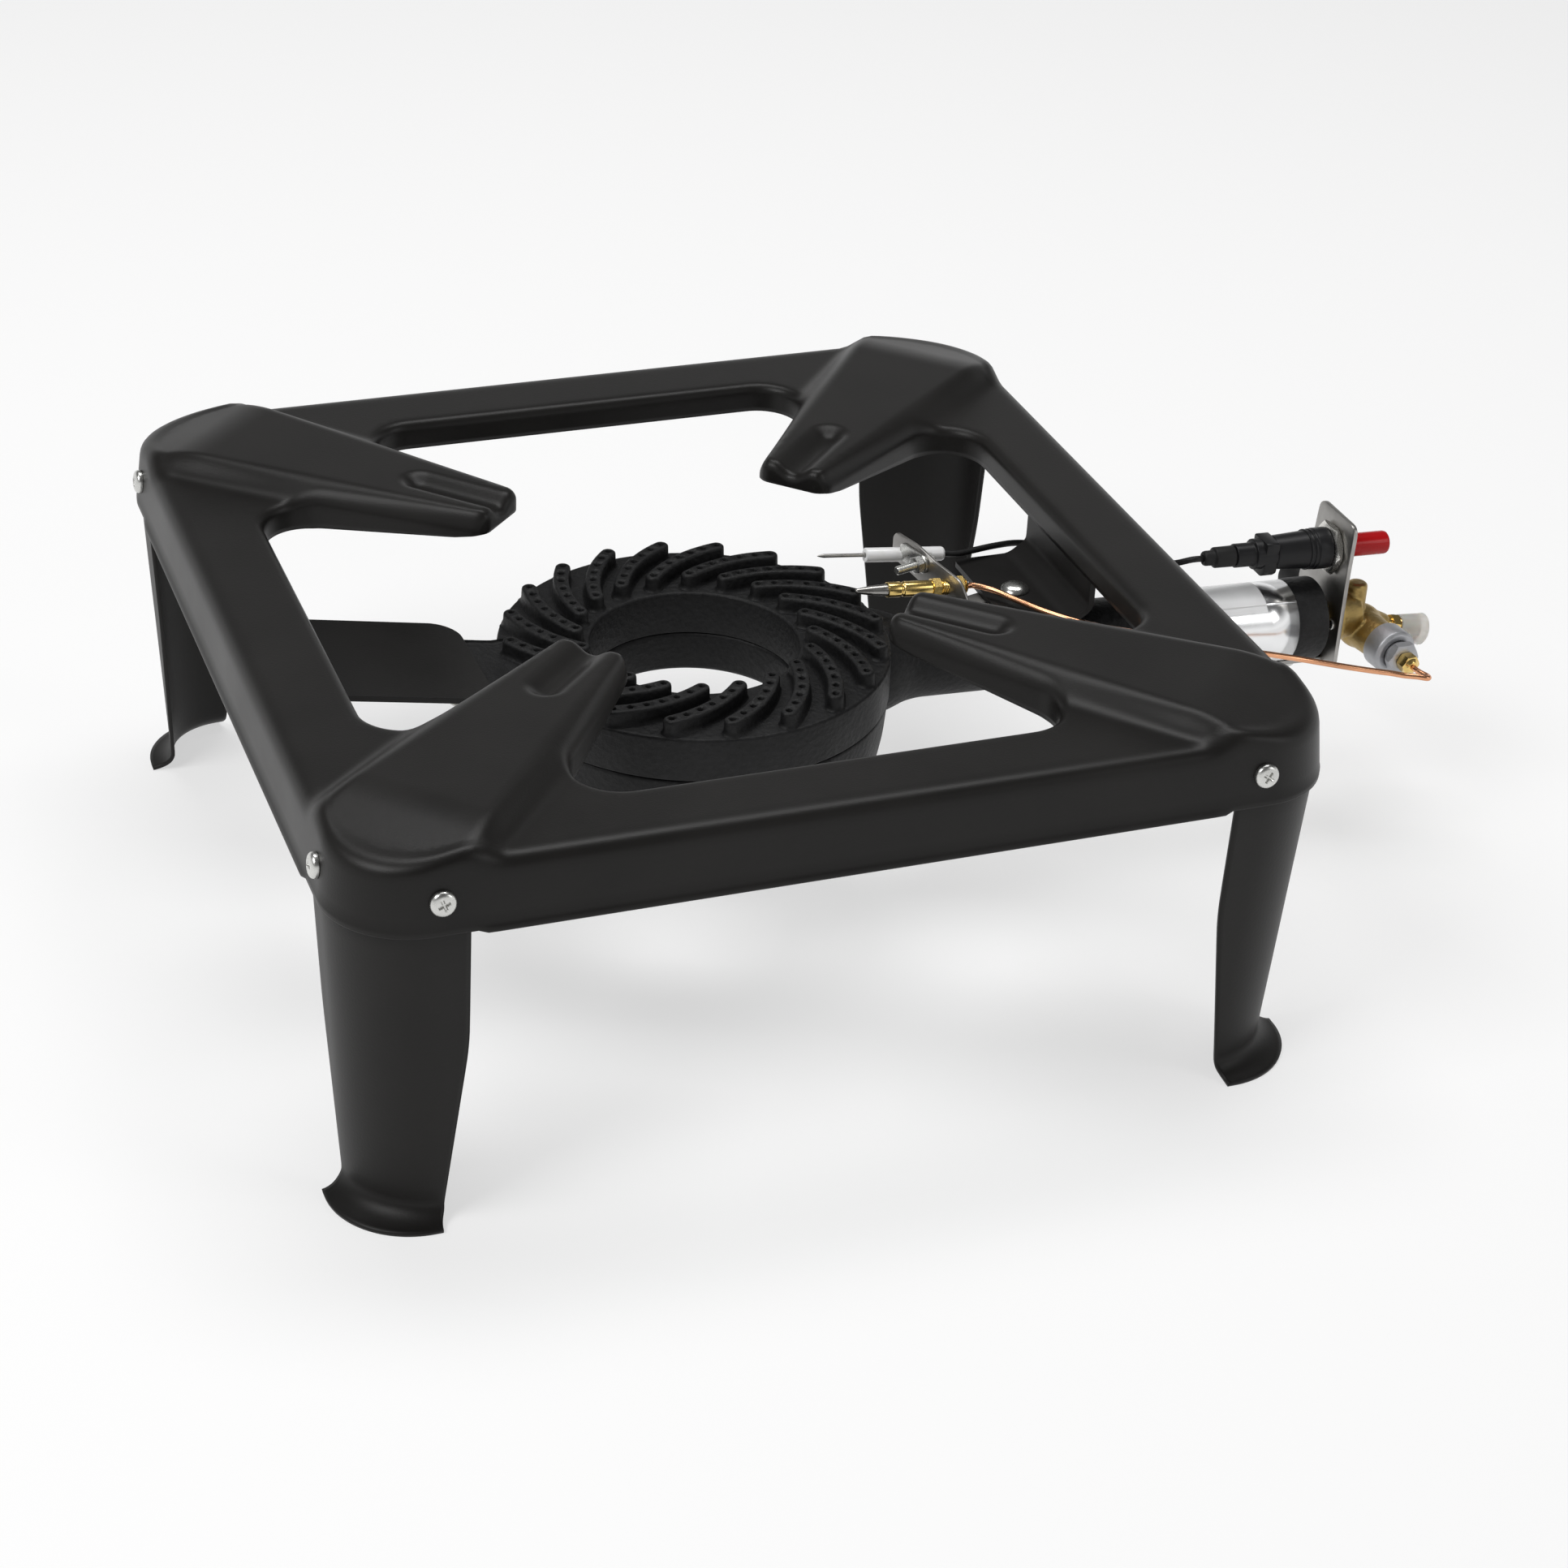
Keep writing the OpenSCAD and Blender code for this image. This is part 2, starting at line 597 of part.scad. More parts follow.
module probe_nut() {
    color("#c59d45") valve_axis() difference() {
        union() {
            translate([0, 0, 31.2]) cylinder(r = 3.2, h = 5);
            translate([0, 0, 35.2]) cylinder(r = 4.6, h = 5.2, $fn = 6);
            translate([0, 0, 40.3]) cylinder(r1 = 3.8, r2 = 2.4, h = 1.6);
        }
        translate([0, 0, 30]) cylinder(r = 1.55, h = 14);
    }
}

module valve_button() {
    color("#1d1d1d") valve_axis() {
        translate([0, 0, -51 - valve_travel]) cylinder(r1 = 7.4, r2 = 8.4, h = 2);
        translate([0, 0, -49.1 - valve_travel]) cylinder(r = 8.4, h = 12);
        translate([0, 0, -37.2 - valve_travel]) cylinder(r = 5.1, h = 9 + valve_travel);
    }
}

// A wound spring as one closed tube.
function coil(r, h, turns, n) = [for (i = [0:n]) let (a = 360 * turns * i / n)
    [r * cos(a), r * sin(a), h * i / n]];
function unit(v) = v / norm(v);
module wire(pts, r, sides = 8) {
    n = len(pts);
    rings = [for (i = [0:n - 1]) let (t = unit(pts[min(i + 1, n - 1)] - pts[max(i - 1, 0)]),
        a = unit(cross(t, abs(t[2]) > 0.9 ? [1, 0, 0] : [0, 0, 1])), b = cross(t, a))
        each [for (j = [0:sides - 1]) let (q = 360 * j / sides)
            pts[i] + r * (cos(q) * a + sin(q) * b)]];
    polyhedron(rings, concat([[for (j = [0:sides - 1]) j]],
        [for (i = [0:n - 2], j = [0:sides - 1]) let (k = (j + 1) % sides)
            each [[i * sides + j, (i + 1) * sides + j, (i + 1) * sides + k],
                [i * sides + j, (i + 1) * sides + k, i * sides + k]]],
        [[for (j = [sides - 1:-1:0]) (n - 1) * sides + j]]));
}

module valve_spring() {
    color("#a8a8a6") valve_axis() translate([0, 0, -27.6]) wire(coil(3.6, 14.6, 4, 64), 0.5, 6);
}

module piezo_body() {
    color("#242424") at_u(bracket_u, piezo_w, piezo_v) difference() {
        union() {
            translate([0, 0, -49]) cylinder(r = 5.4, h = 9.1);
            translate([0, 0, -40]) cylinder(r = 6.9, h = 10.1);
            translate([-7.4, -6.6, -36.5]) cube([17, 13.2, 6.6]);
            translate([0, 0, -30]) cylinder(r1 = 7.6, r2 = 8.8, h = 19.6);
            translate([0, 0, -10.5]) cylinder(r = 9.3, h = 6.8);
            translate([0, 0, -4]) cylinder(r = 7, h = 8.2);
        }
        translate([0, 0, -24]) cylinder(r = 5.55, h = 40);
        translate([0, 0, -50]) cylinder(r = 1.6, h = 6);
    }
}

module piezo_nut() {
    color("#d2d0c6") at_u(bracket_u - 3.5, piezo_w, piezo_v) rotate([0, 0, 30]) hex_nut(21, 7.1, 3.3);
}

module piezo_button() {
    color("#b22222") at_u(bracket_u, piezo_w, piezo_v) {
        translate([0, 0, -7]) cylinder(r = 5.3, h = 25.5 + piezo_travel);
        translate([0, 0, 18.4 + piezo_travel]) cylinder(r1 = 5.3, r2 = 4.2, h = 1.4);
    }
}

module piezo_spring() {
    color("#a8a8a6") at_u(bracket_u - 23.3, piezo_w, piezo_v)
        wire(coil(3.9, 15.6, 5, 80), 0.5, 6);
}

module lead_boot() {
    color("#1c1c1c") at_u(bracket_u, piezo_w, piezo_v) difference() {
        union() {
            translate([0, 0, -64]) cylinder(r = 3.4, h = 5.1);
            translate([0, 0, -59]) cylinder(r = 4.7, h = 9.8);
        }
        translate([0, 0, -65]) cylinder(r = 1.6, h = 10);
    }
}

// A smooth run through the given points.
function run(p, k) = concat([for (i = [0:len(p) - 2], j = [0:k - 1]) let (t = j / k,
    a = p[max(i - 1, 0)], b = p[i], c = p[i + 1], d = p[min(i + 2, len(p) - 1)])
    0.5 * ((2 * b) + (c - a) * t + (2 * a - 5 * b + 4 * c - d) * t * t
        + (3 * b - a - 3 * c + d) * t * t * t)], [p[len(p) - 1]]);
function from_u(u, v, w) = [u * cos(tube_fall) + w * sin(tube_fall), v,
    tube_z0 - u * sin(tube_fall) + w * cos(tube_fall)];
function from_valve(d) = from_u(valve_u + d * sin(valve_turn), 1 - d * cos(valve_turn), valve_w);

module spark_lead() {
    color("#1c1c1c") wire(run(concat([spark_end(0.4), spark_end(8)], lead_route,
        [for (u = [69, 64, 56.5]) from_u(bracket_u - u, piezo_v, piezo_w)]), 5), 1.4);
}

module spark_axis() {
    translate([spark_x, 30, 132.4]) rotate([0, spark_tilt, 0]) rotate([0, 90, 0]) children();
}
function spark_end(d) = [spark_x + d * cos(spark_tilt), 30, 132.4 - d * sin(spark_tilt)];

module spark_insulator() {
    color("#efeeea") spark_axis() difference() {
        union() {
            translate([0, 0, -36.8]) cylinder(r = 3.2, h = 36);
            translate([0, 0, -0.9]) cylinder(r1 = 3.2, r2 = 2.6, h = 0.9);
        }
        translate([0, 0, -40]) cylinder(r = 0.95, h = 44);
    }
}

module spark_needle() {
    color("#9a9a98") spark_axis() {
        translate([0, 0, -56]) cylinder(r = 0.85, h = 55);
        translate([0, 0, -59]) cylinder(r1 = 0.25, r2 = 0.85, h = 3.1);
    }
}

// The igniter bracket stands on the right support, turned towards the ring.
module at_plate() {
    translate([coach_x - 32.6, 0, 0]) rotate([0, 0, plate_turn]) children();
}
module probe_axis() {
    translate([probe_x, 0, 131.9]) rotate([0, probe_tilt, 0]) rotate([0, 90, 0]) children();
}
module clamp_axis() {
    at_plate() translate([0, 16, 137]) rotate([0, 90, 0]) children();
}

module igniter_bracket() {
    color("#a9a8a4") difference() {
        union() {
            at_plate() rotate([90, 0, 90]) linear_extrude(1.3)
                polygon([[-17, foot_z], [-17, 130], [-9, 139.5], [8, 141], [20, 143.5], [35, 143.5],
                    [37, 141], [37, 131], [20, 128.3], [1, foot_z]]);
            at_plate() translate([0, -17, foot_z]) cube([40, 18, 1.2]);
        }
        translate([coach_x, 0, 120]) cylinder(r = 3.3, h = 20);
        spark_axis() translate([0, 0, -40]) cylinder(r = 3.5, h = 60);
        probe_axis() translate([0, 0, -40]) cylinder(r = 3.6, h = 60);
        clamp_axis() translate([0, 0, -5]) cylinder(r = 2.2, h = 12);
    }
}

module igniter_bolt() {
    color("#c9c9c7") clamp_axis() {
        translate([0, 0, 1.4]) cylinder(r = 4, h = 3, $fn = 6);
        translate([0, 0, -14.2]) cylinder(r = 1.95, h = 15.7);
    }
}

module igniter_nut() {
    color("#c9c9c7") clamp_axis() translate([0, 0, -4.7]) hex_nut(7, 2, 3.2);
}

// A small strap on the bolt that holds the insulator down.
module igniter_clamp() {
    color("#c9c9c7") difference() {
        clamp_axis() translate([0, 0, -1.35]) linear_extrude(1.2) hull() {
            circle(4.2);
            translate([-1, 11]) circle(3.4);
        }
        clamp_axis() translate([0, 0, -5]) cylinder(r = 2.2, h = 12);
        spark_axis() translate([0, 0, -60]) cylinder(r = 3.3, h = 80);
    }
}

module probe_tip() {
    color("#a7a39b") probe_axis() {
        translate([0, 0, -37.5]) cylinder(r = 2.6, h = 9);
        translate([0, 0, -44]) cylinder(r1 = 2.1, r2 = 2.6, h = 6.6);
        translate([0, 0, -51]) cylinder(r1 = 1.1, r2 = 2.1, h = 7.1);
    }
}

module probe_body() {
    color("#c7a448") probe_axis() difference() {
        union() {
            translate([0, 0, -36.5]) cylinder(r = 3.3, h = 20.4);
            translate([0, 0, -16.2]) cylinder(r = 4.4, h = 3.8, $fn = 6);
            translate([0, 0, -12.5]) cylinder(r = 3.4, h = 12.4);
        }
        translate([0, 0, -37]) cylinder(r = 2.7, h = 9.1);
        translate([0, 0, -6]) cylinder(r = 1.45, h = 8);
    }
}

module probe_locknut() {
    color("#cda94e") probe_axis() translate([0, 0, -5.6]) hex_nut(8.6, 3.5, 3.6);
}

module probe_tube() {
    color("#b8734a") wire(run(concat([for (d = [-5.5, 0, 4]) probe_end(d)], tube_route,
        [for (d = [46, 41, 34]) from_valve(d)]), 4), 1.3);
}
function probe_end(d) = [probe_x + d * cos(probe_tilt), 0, 131.9 - d * sin(probe_tilt)];

top_frame();
leg_front_left();
leg_front_right();
leg_back_left();
leg_back_right();
leg_screws();
leg_nuts();
support_left();
support_right();
support_stud();
support_stud_nut();
burner_base();
burner_head();
burner_joint_screws();
coach_screw();
tube_sleeve();
valve_bracket();
bracket_screw();
gas_jet();
valve_body();
inlet_cap();
magnet_housing();
magnet_plug();
probe_nut();
valve_button();
valve_spring();
valve_rivets();
piezo_body();
piezo_nut();
piezo_button();
piezo_spring();
lead_boot();
spark_lead();
spark_insulator();
spark_needle();
igniter_bracket();
igniter_bolt();
igniter_nut();
igniter_clamp();
probe_tip();
probe_body();
probe_locknut();
probe_tube();
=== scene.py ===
import math

import bmesh
import bpy
from mathutils import Matrix, Vector, geometry


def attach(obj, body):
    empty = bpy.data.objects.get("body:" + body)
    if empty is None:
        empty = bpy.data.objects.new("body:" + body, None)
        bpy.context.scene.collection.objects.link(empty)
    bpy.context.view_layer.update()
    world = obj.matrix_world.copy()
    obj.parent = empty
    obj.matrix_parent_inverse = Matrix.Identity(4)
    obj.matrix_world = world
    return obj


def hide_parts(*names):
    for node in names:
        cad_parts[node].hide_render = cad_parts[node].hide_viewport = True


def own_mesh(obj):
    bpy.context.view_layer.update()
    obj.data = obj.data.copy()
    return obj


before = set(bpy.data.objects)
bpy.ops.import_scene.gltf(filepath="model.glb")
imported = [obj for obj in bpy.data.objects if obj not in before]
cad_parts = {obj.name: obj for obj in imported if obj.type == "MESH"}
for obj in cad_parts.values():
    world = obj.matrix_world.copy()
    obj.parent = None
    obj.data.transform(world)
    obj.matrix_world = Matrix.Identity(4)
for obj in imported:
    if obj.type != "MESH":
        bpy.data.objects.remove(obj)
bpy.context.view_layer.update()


# The top frame: one deep-drawn sheet of 1.5 mm steel, powder coated satin
# black. Four pressed arms carry the pot, and a rolled wall stiffens the opening.
# It is trimmed after pressing, so its edges show the bare sheet thickness.
MM = 0.001
DIAG = math.sqrt(0.5)
SHEET, SKIRT_HALF, SKIRT_Z, SKIRT_SLOPE = 1.5, 199.4, 131.6, 2.0 / 20.4
BAND_Z, BAND_HALF, BEND, CORNER_R = 158.4, 189.6, 7.4, 34.0
OPENING_HALF, ROLL_R, WALL_Z = 162.0, 4.2, 146
ARM_TIP, ARM_Z, ARM_RISE = 91.0, 164.8, 0.0101
CREASE_R, CREASE_Z, CREASE_FALL = 228.5, 166.2, 0.25
TIP_HALF, TIP_R, SIDE_TURN = 10.2, 7, 80.4
ROOT_X, ROOT_W, ROOT_R = 158, 45.6, 18
GROOVE_END, GROOVE_HALF, GROOVE_DEPTH = 130.5, 6.8, 3.8


def smooth_step(x):
    x = min(1.0, max(0.0, x))
    return x * x * (3 - 2 * x)


def soft_max(a, b, k):
    h = max(k - abs(a - b), 0.0) / k
    return max(a, b) + h * h * k / 4


def soft_min(a, b, k):
    return -soft_max(-a, -b, k)


def along(table, r):
    """The value at r in rows of (r, value), straight between rows."""
    for (r0, v0), (r1, v1) in zip(table, table[1:]):
        if r <= r1 or (r1, v1) == table[-1]:
            return v0 + (v1 - v0) * (r - r0) / (r1 - r0)


ARM_START, ARM_MID, ARM_END = 88, 170, CREASE_R + 40
ARM_FOOT = [(ARM_START, 18.5), (ARM_MID, 33.3), (CREASE_R, 37.2), (ARM_END, 41)]
ARM_FOOT_Z = [(ARM_START, 156.0), (ARM_MID, 158.1), (ARM_END, 158.1)]
ARM_TOP = [(ARM_START, 12.7), (ARM_MID, 21.9), (CREASE_R, 28.6), (ARM_END, 34)]
WALL_LOW = [(80, 155.2), (93, 155.0), (104, 152.6), (166, WALL_Z), (300, WALL_Z)]


def frame_height(r, w):
    """Height of the pressed sheet at distance r along an arm and w across it."""
    w = abs(w)
    top, foot = along(ARM_TOP, r), along(ARM_FOOT, r)
    crown = soft_min(ARM_Z + ARM_RISE * (r - ARM_START),
                     CREASE_Z - CREASE_FALL * (r - CREASE_R), 2.2)
    flank = crown + (along(ARM_FOOT_Z, r) - crown) * (w - top) / (foot - top)
    ridge = soft_min(crown, flank, 2.2)
    band = BAND_Z - 0.05 * max(0.0, 150 - r) * (1 - smooth_step((w - 30) / 15))
    z = soft_max(ridge, band, 2.6)
    edge = math.hypot(max(0.0, r - GROOVE_END), w) - GROOVE_HALF
    return z - GROOVE_DEPTH * smooth_step((2.6 - edge) / 8.6)


def arc(x, y, radius, start, end, steps):
    """Points on an arc round (x, y) from one angle to another, in degrees."""
    angles = [math.radians(start + (end - start) * i / steps) for i in range(steps + 1)]
    return [(x + radius * math.cos(a), y + radius * math.sin(a)) for a in angles]


def straight(a, b, steps):
    return [tuple(p + (q - p) * i / steps for p, q in zip(a, b)) for i in range(steps + 1)]


def curve(t, a, b, c):
    """The value at t on the curve from a to c that b pulls towards itself."""
    return (1 - t) ** 2 * a + 2 * t * (1 - t) * b + t * t * c


def along_and_across(x, y):
    return (x + y) * DIAG, (x - y) * DIAG


def opening_line(d):
    """Half an arm and half a side of the opening's edge, moved d into the sheet."""
    tip = arc(ARM_TIP + TIP_R, TIP_HALF, TIP_R - d, 180, 180 - SIDE_TURN, 8)
    root = arc(ROOT_X, ROOT_W, ROOT_R + d, -SIDE_TURN, 45, 24)
    x = OPENING_HALF + d
    y = along_and_across(*root[-1])[1]
    side = straight(along_and_across(x, y), along_and_across(x, 0), 20)
    end = straight((ARM_TIP + d, 0), (ARM_TIP + d, TIP_HALF), 9)
    return end + tip[1:] + straight(tip[-1], root[0], 30)[1:] + root[1:] + side[1:]


def skirt_line(half):
    """An eighth of the frame's outer edge at one level, as (r, w), corner first."""
    rc = CORNER_R * half / SKIRT_HALF
    line = arc(half - rc, half - rc, rc, 45, 0, 14) + straight((half, half - rc), (half, 0), 40)[1:]
    return [along_and_across(x, y) for x, y in line]


def eighths(points, faces):
    """Mirrors and turns an eighth of the frame into the whole of it."""
    all_points, all_faces = [], []
    for turn in range(4):
        c, s = math.cos(turn * math.pi / 2), math.sin(turn * math.pi / 2)
        for side in (1, -1):
            base = len(all_points)
            for r, w, z in points:
                x, y = along_and_across(r, side * w)
                all_points.append((x * c - y * s, x * s + y * c, z))
            for f in faces:
                ids = [base + i for i in f]
                all_faces.append(ids if side == 1 else ids[::-1])
    return all_points, all_faces


def inside(p, line):
    hit = False
    for (x0, y0), (x1, y1) in zip(line, line[1:] + line[:1]):
        if (y0 > p[1]) != (y1 > p[1]) and p[0] < x0 + (x1 - x0) * (p[1] - y0) / (y1 - y0):
            hit = not hit
    return hit


def gap_to(p, a, b):
    """The distance from a point to the stretch between a and b."""
    dx, dy = b[0] - a[0], b[1] - a[1]
    t = ((p[0] - a[0]) * dx + (p[1] - a[1]) * dy) / (dx * dx + dy * dy)
    t = min(1.0, max(0.0, t))
    return math.hypot(p[0] - a[0] - dx * t, p[1] - a[1] - dy * t)


def row_faces(starts, across, ring=True):
    """Four-sided faces between rows of points, told by the number of each row's first."""
    faces = []
    for a, b in zip(starts, starts[1:]):
        for k in range(across if ring else across - 1):
            m = (k + 1) % across
            faces.append([a + k, a + m, b + m, b + k])
    return faces


def rolled_wall():
    """Rows of points round the opening's rolled edge and down its wall."""
    rows = []
    for step in range(8):
        a = math.radians(90 * step / 7)
        rows.append([(r, w, frame_height(r, w) - ROLL_R * (1 - math.cos(a)))
                     for r, w in opening_line(ROLL_R * (1 - math.sin(a)))])
    edge = rows[-1]
    foot = [min(z - 0.3, WALL_Z if w > 40 else along(WALL_LOW, r)) for r, w, z in edge]
    for t in (0.25, 0.5, 0.75, 1.0):
        rows.append([(r, w, z + (z1 - z) * t) for (r, w, z), z1 in zip(edge, foot)])
    return rows


def skirt_half_at(z):
    return SKIRT_HALF - (z - SKIRT_Z) * SKIRT_SLOPE


def turned_skirt():
    """Rows of points over the outer bend, down the skirt and round its lip."""
    rows = []
    tops = [frame_height(r, w) for r, w in skirt_line(BAND_HALF)]
    for step in range(8):
        t = step / 7
        row = []
        for k, z in enumerate(tops):
            out = skirt_half_at(z)
            half = curve(t, BAND_HALF, out, out + BEND * SKIRT_SLOPE)
            row.append((*skirt_line(half)[k], curve(t, z, z, z - BEND)))
        rows.append(row)
    ends = [z for r, w, z in rows[-1]]
    for t in (0.25, 0.5, 0.75, 1.0):
        levels = [z + (SKIRT_Z + 2.6 - z) * t for z in ends]
        rows.append([(*skirt_line(skirt_half_at(z))[k], z) for k, z in enumerate(levels)])
    for out_by, z in ((0.45, 133.0), (1.05, 132.0), (1.15, 131.3), (1.0, 130.75)):
        row = []
        for k, (r, w) in enumerate(skirt_line(SKIRT_HALF)):
            lip = smooth_step((149 - along_and_across(r, w)[1]) / 5)
            half = SKIRT_HALF + out_by * lip - 0.1 * (1 - lip)
            row.append((*skirt_line(half)[k], z + (1 - lip) * 0.85))
        rows.append(row)
    return rows


def frame_sheet():
    """The outer face of the pressed frame, as points and faces of an eighth."""
    roll_in, bend_out = opening_line(ROLL_R), skirt_line(BAND_HALF)
    rim = roll_in + bend_out[::-1]
    grid_w = 48
    inner = []
    r = 96.6
    while r < 262:
        inner += [(r, 1.45 * i) for i in range(34)]
        r += 1.6 if r < 140 or 215 < r < 236 else 2.4
    for column in range(10):
        x = 166 + 2.6 * column
        side = [along_and_across(x, y) for y in range(0, math.ceil(x), 4)]
        inner += [p for p in side if p[1] >= grid_w]
    lines = list(zip(roll_in, roll_in[1:])) + list(zip(bend_out, bend_out[1:]))
    near = [p for p in inner if inside((p[0] + 0.01, p[1] + 0.004), rim)
            and min(gap_to(p, a, b) for a, b in lines) > 1.1]
    edges = [(i, (i + 1) % len(rim)) for i in range(len(rim))]
    out = geometry.delaunay_2d_cdt([Vector(p) for p in rim + near], edges, [], 0, 1e-5)
    points = [(p.x, p.y, frame_height(p.x, p.y)) for p in out[0]]
    faces = []
    for f in out[2]:
        a, b, c = (points[i] for i in f)
        up = (b[0] - a[0]) * (c[1] - a[1]) - (b[1] - a[1]) * (c[0] - a[0])
        if inside(((a[0] + b[0] + c[0]) / 3, (a[1] + b[1] + c[1]) / 3), rim) and abs(up) > 0.02:
            faces.append(list(f) if up < 0 else list(f)[::-1])
    for rows in (rolled_wall(), [row[::-1] for row in turned_skirt()]):
        first, across = len(points), len(rows[0])
        points += [p for row in rows for p in row]
        starts = range(first, len(points), across)
        faces += [[a, d, c, b] for a, b, c, d in row_faces(starts, across, ring=False)]
    return points, faces


def wire_up(finish, node, inputs):
    """Sets a shader node's inputs: another node's output is linked, a value is set."""
    for name, value in inputs.items():
        if isinstance(value, bpy.types.NodeSocket):
            finish.node_tree.links.new(value, node.inputs[name])
        else:
            node.inputs[name].default_value = value
    return node


def add_node(finish, kind, inputs):
    return wire_up(finish, finish.node_tree.nodes.new("ShaderNode" + kind), inputs)


def new_finish(name):
    """A material, its surface shader and the object's own coordinates in it."""
    finish = bpy.data.materials.new(name)
    finish.use_nodes = True
    place = add_node(finish, "TexCoord", {}).outputs["Object"]
    return finish, finish.node_tree.nodes["Principled BSDF"], place


def grain_of(finish, place, scale, detail):
    noise = add_node(finish, "TexNoise", {"Vector": place, "Scale": scale, "Detail": detail})
    return noise.outputs["Fac"]


def tone_of(finish, source, low, high, dark, light):
    """A colour from dark, where the source is low, to light, where it is high."""
    tone = add_node(finish, "ValToRGB", {"Fac": source})
    for stop, at, colour in zip(tone.color_ramp.elements, (low, high), (dark, light)):
        stop.position = at
        stop.color = (*colour, 1)
    return tone.outputs["Color"]


def spread(finish, source, low, high):
    """A number that follows the source from low to high."""
    inputs = {"Value": source, "To Min": low, "To Max": high}
    return add_node(finish, "MapRange", inputs).outputs["Result"]


def relief(finish, source, strength, depth):
    inputs = {"Height": source, "Strength": strength, "Distance": depth}
    return add_node(finish, "Bump", inputs).outputs["Normal"]


def coated_steel(name, colour, grain, rough, depth=0.0002):
    """Satin powder coat: a fine pebbled skin with slightly uneven gloss."""
    finish, skin, place = new_finish(name)
    cloud = grain_of(finish, place, 22, 4)
    dark, light = [c * 0.8 for c in colour], [c * 1.25 for c in colour]
    wire_up(finish, skin, {
        "Base Color": tone_of(finish, cloud, 0.3, 0.75, dark, light),
        "Roughness": spread(finish, cloud, rough - 0.05, rough + 0.07),
        "Specular IOR Level": 0.24,
        "Normal": relief(finish, grain_of(finish, place, grain, 3), 0.22, depth)})
    return finish


def make(name, points, faces, finish, slot, body="stove", replaces=(), sharp=35, weld=0.0,
         open_sheet=False):
    """A piece from points in millimetres, shaded smooth up to the sharp angle."""
    mesh = bpy.data.meshes.new(name)
    mesh.from_pydata([(x * MM, y * MM, z * MM) for x, y, z in points], [], faces)
    work = bmesh.new()
    work.from_mesh(mesh)
    if weld:
        bmesh.ops.remove_doubles(work, verts=work.verts, dist=weld * MM)
    if weld or not open_sheet:
        bmesh.ops.recalc_face_normals(work, faces=work.faces)
    if weld and sum(f.normal.z * f.calc_area() for f in work.faces) < 0:
        bmesh.ops.reverse_faces(work, faces=work.faces)
    work.to_mesh(mesh)
    work.free()
    mesh.materials.append(finish)
    mesh.shade_smooth()
    mesh.set_sharp_from_angle(angle=math.radians(sharp))
    ob = bpy.data.objects.new(name, mesh)
    bpy.context.scene.collection.objects.link(ob)
    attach(ob, body)
    if replaces:
        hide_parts(*replaces)
    return ob


def thicken(ob, thickness, offset=-1.0):
    """Gives a sheet piece its thickness, with square trimmed edges."""
    mod = ob.modifiers.new("sheet", "SOLIDIFY")
    mod.thickness = thickness * MM
    mod.offset = offset
    mod.use_even_offset = True
    mod.use_quality_normals = True
    return ob


frame_black = coated_steel("frame_black", (0.0085, 0.0078, 0.0072), 1500, 0.38)
thicken(make("frame_pressing", *eighths(*frame_sheet()), frame_black, "black_steel",
             replaces=["top_frame"], sharp=50, weld=0.02, open_sheet=True), SHEET)


# The four legs: pressed from the same coated sheet, each bent round a corner of
# the frame, cut to a slant below the knee and flared outwards at the foot.
# Each is held inside the skirt by two machine screws.
LEG_EDGE, KNEE_Z, LEG_HALF, FOOT_H, LEG_GAP, LEG_ACROSS = 151.0, 80.0, 191.5, 9.0, 0.35, 34


def leg_half_at(z):
    inside_skirt = SHEET + LEG_GAP
    if z >= SKIRT_Z:
        return skirt_half_at(z) - inside_skirt
    lean = SKIRT_HALF - inside_skirt - LEG_HALF
    return LEG_HALF + lean * max(0.0, z - FOOT_H) / (SKIRT_Z - FOOT_H)


def leg_edge_at(z):
    if z > 143:
        return LEG_EDGE + 7 * smooth_step((z - 143) / 8) ** 1.5
    slant = LEG_EDGE + 9 * (KNEE_Z - z) / (KNEE_Z - 8)
    return soft_max(LEG_EDGE, slant, 1.2) + 2 * smooth_step((6 - z) / 6)


flare = [math.radians(81 - 8.1 * i) for i in range(10)]
leg_rows = [(FOOT_H - (FOOT_H - 1.52) * math.sin(a) / math.sin(flare[0]),
             LEG_HALF + 8.4 * (1 - math.cos(a)) / (1 - math.cos(flare[0]))) for a in flare]
leg_rows += [(z, leg_half_at(z)) for z in (
    10, 13, 20, 30, 40, 50, 60, 68, 74, 77, 80, 83, 86, 94, 104, 114, 124, 131.6, 136, 140, 143,
    145, 147, 149, 150)]


def resample(path, count):
    """The same line in equal steps."""
    reach = [0.0]
    for p, q in zip(path, path[1:]):
        reach.append(reach[-1] + math.dist(p, q))
    out, k = [], 0
    for i in range(count):
        s = reach[-1] * i / (count - 1)
        while k < len(path) - 2 and reach[k + 1] < s:
            k += 1
        t = (s - reach[k]) / max(1e-9, reach[k + 1] - reach[k])
        out.append(tuple(a + (b - a) * t for a, b in zip(path[k], path[k + 1])))
    return out


def leg_sheet():
    """The bent sheet of one leg, round the corner where x and y are positive."""
    points = []
    for z, half in leg_rows:
        edge = leg_edge_at(z)
        rc = CORNER_R * half / SKIRT_HALF
        past = max(0.0, (edge - (half - rc)) / rc)
        start = math.degrees(math.asin(min(1, past)))
        path = arc(half - rc, half - rc, rc, 90 - start, start, 24)
        if not start:
            run = straight((edge, half), (half - rc, half), 4)[:4]
            path = run + path + [(y, x) for x, y in run[::-1]]
        points += [(x, y, z) for x, y in resample(path, LEG_ACROSS)]
    return points, row_faces(range(0, len(points), LEG_ACROSS), LEG_ACROSS, ring=False)


def turn(axis, degrees):
    return Matrix.Rotation(math.radians(degrees), 4, axis)


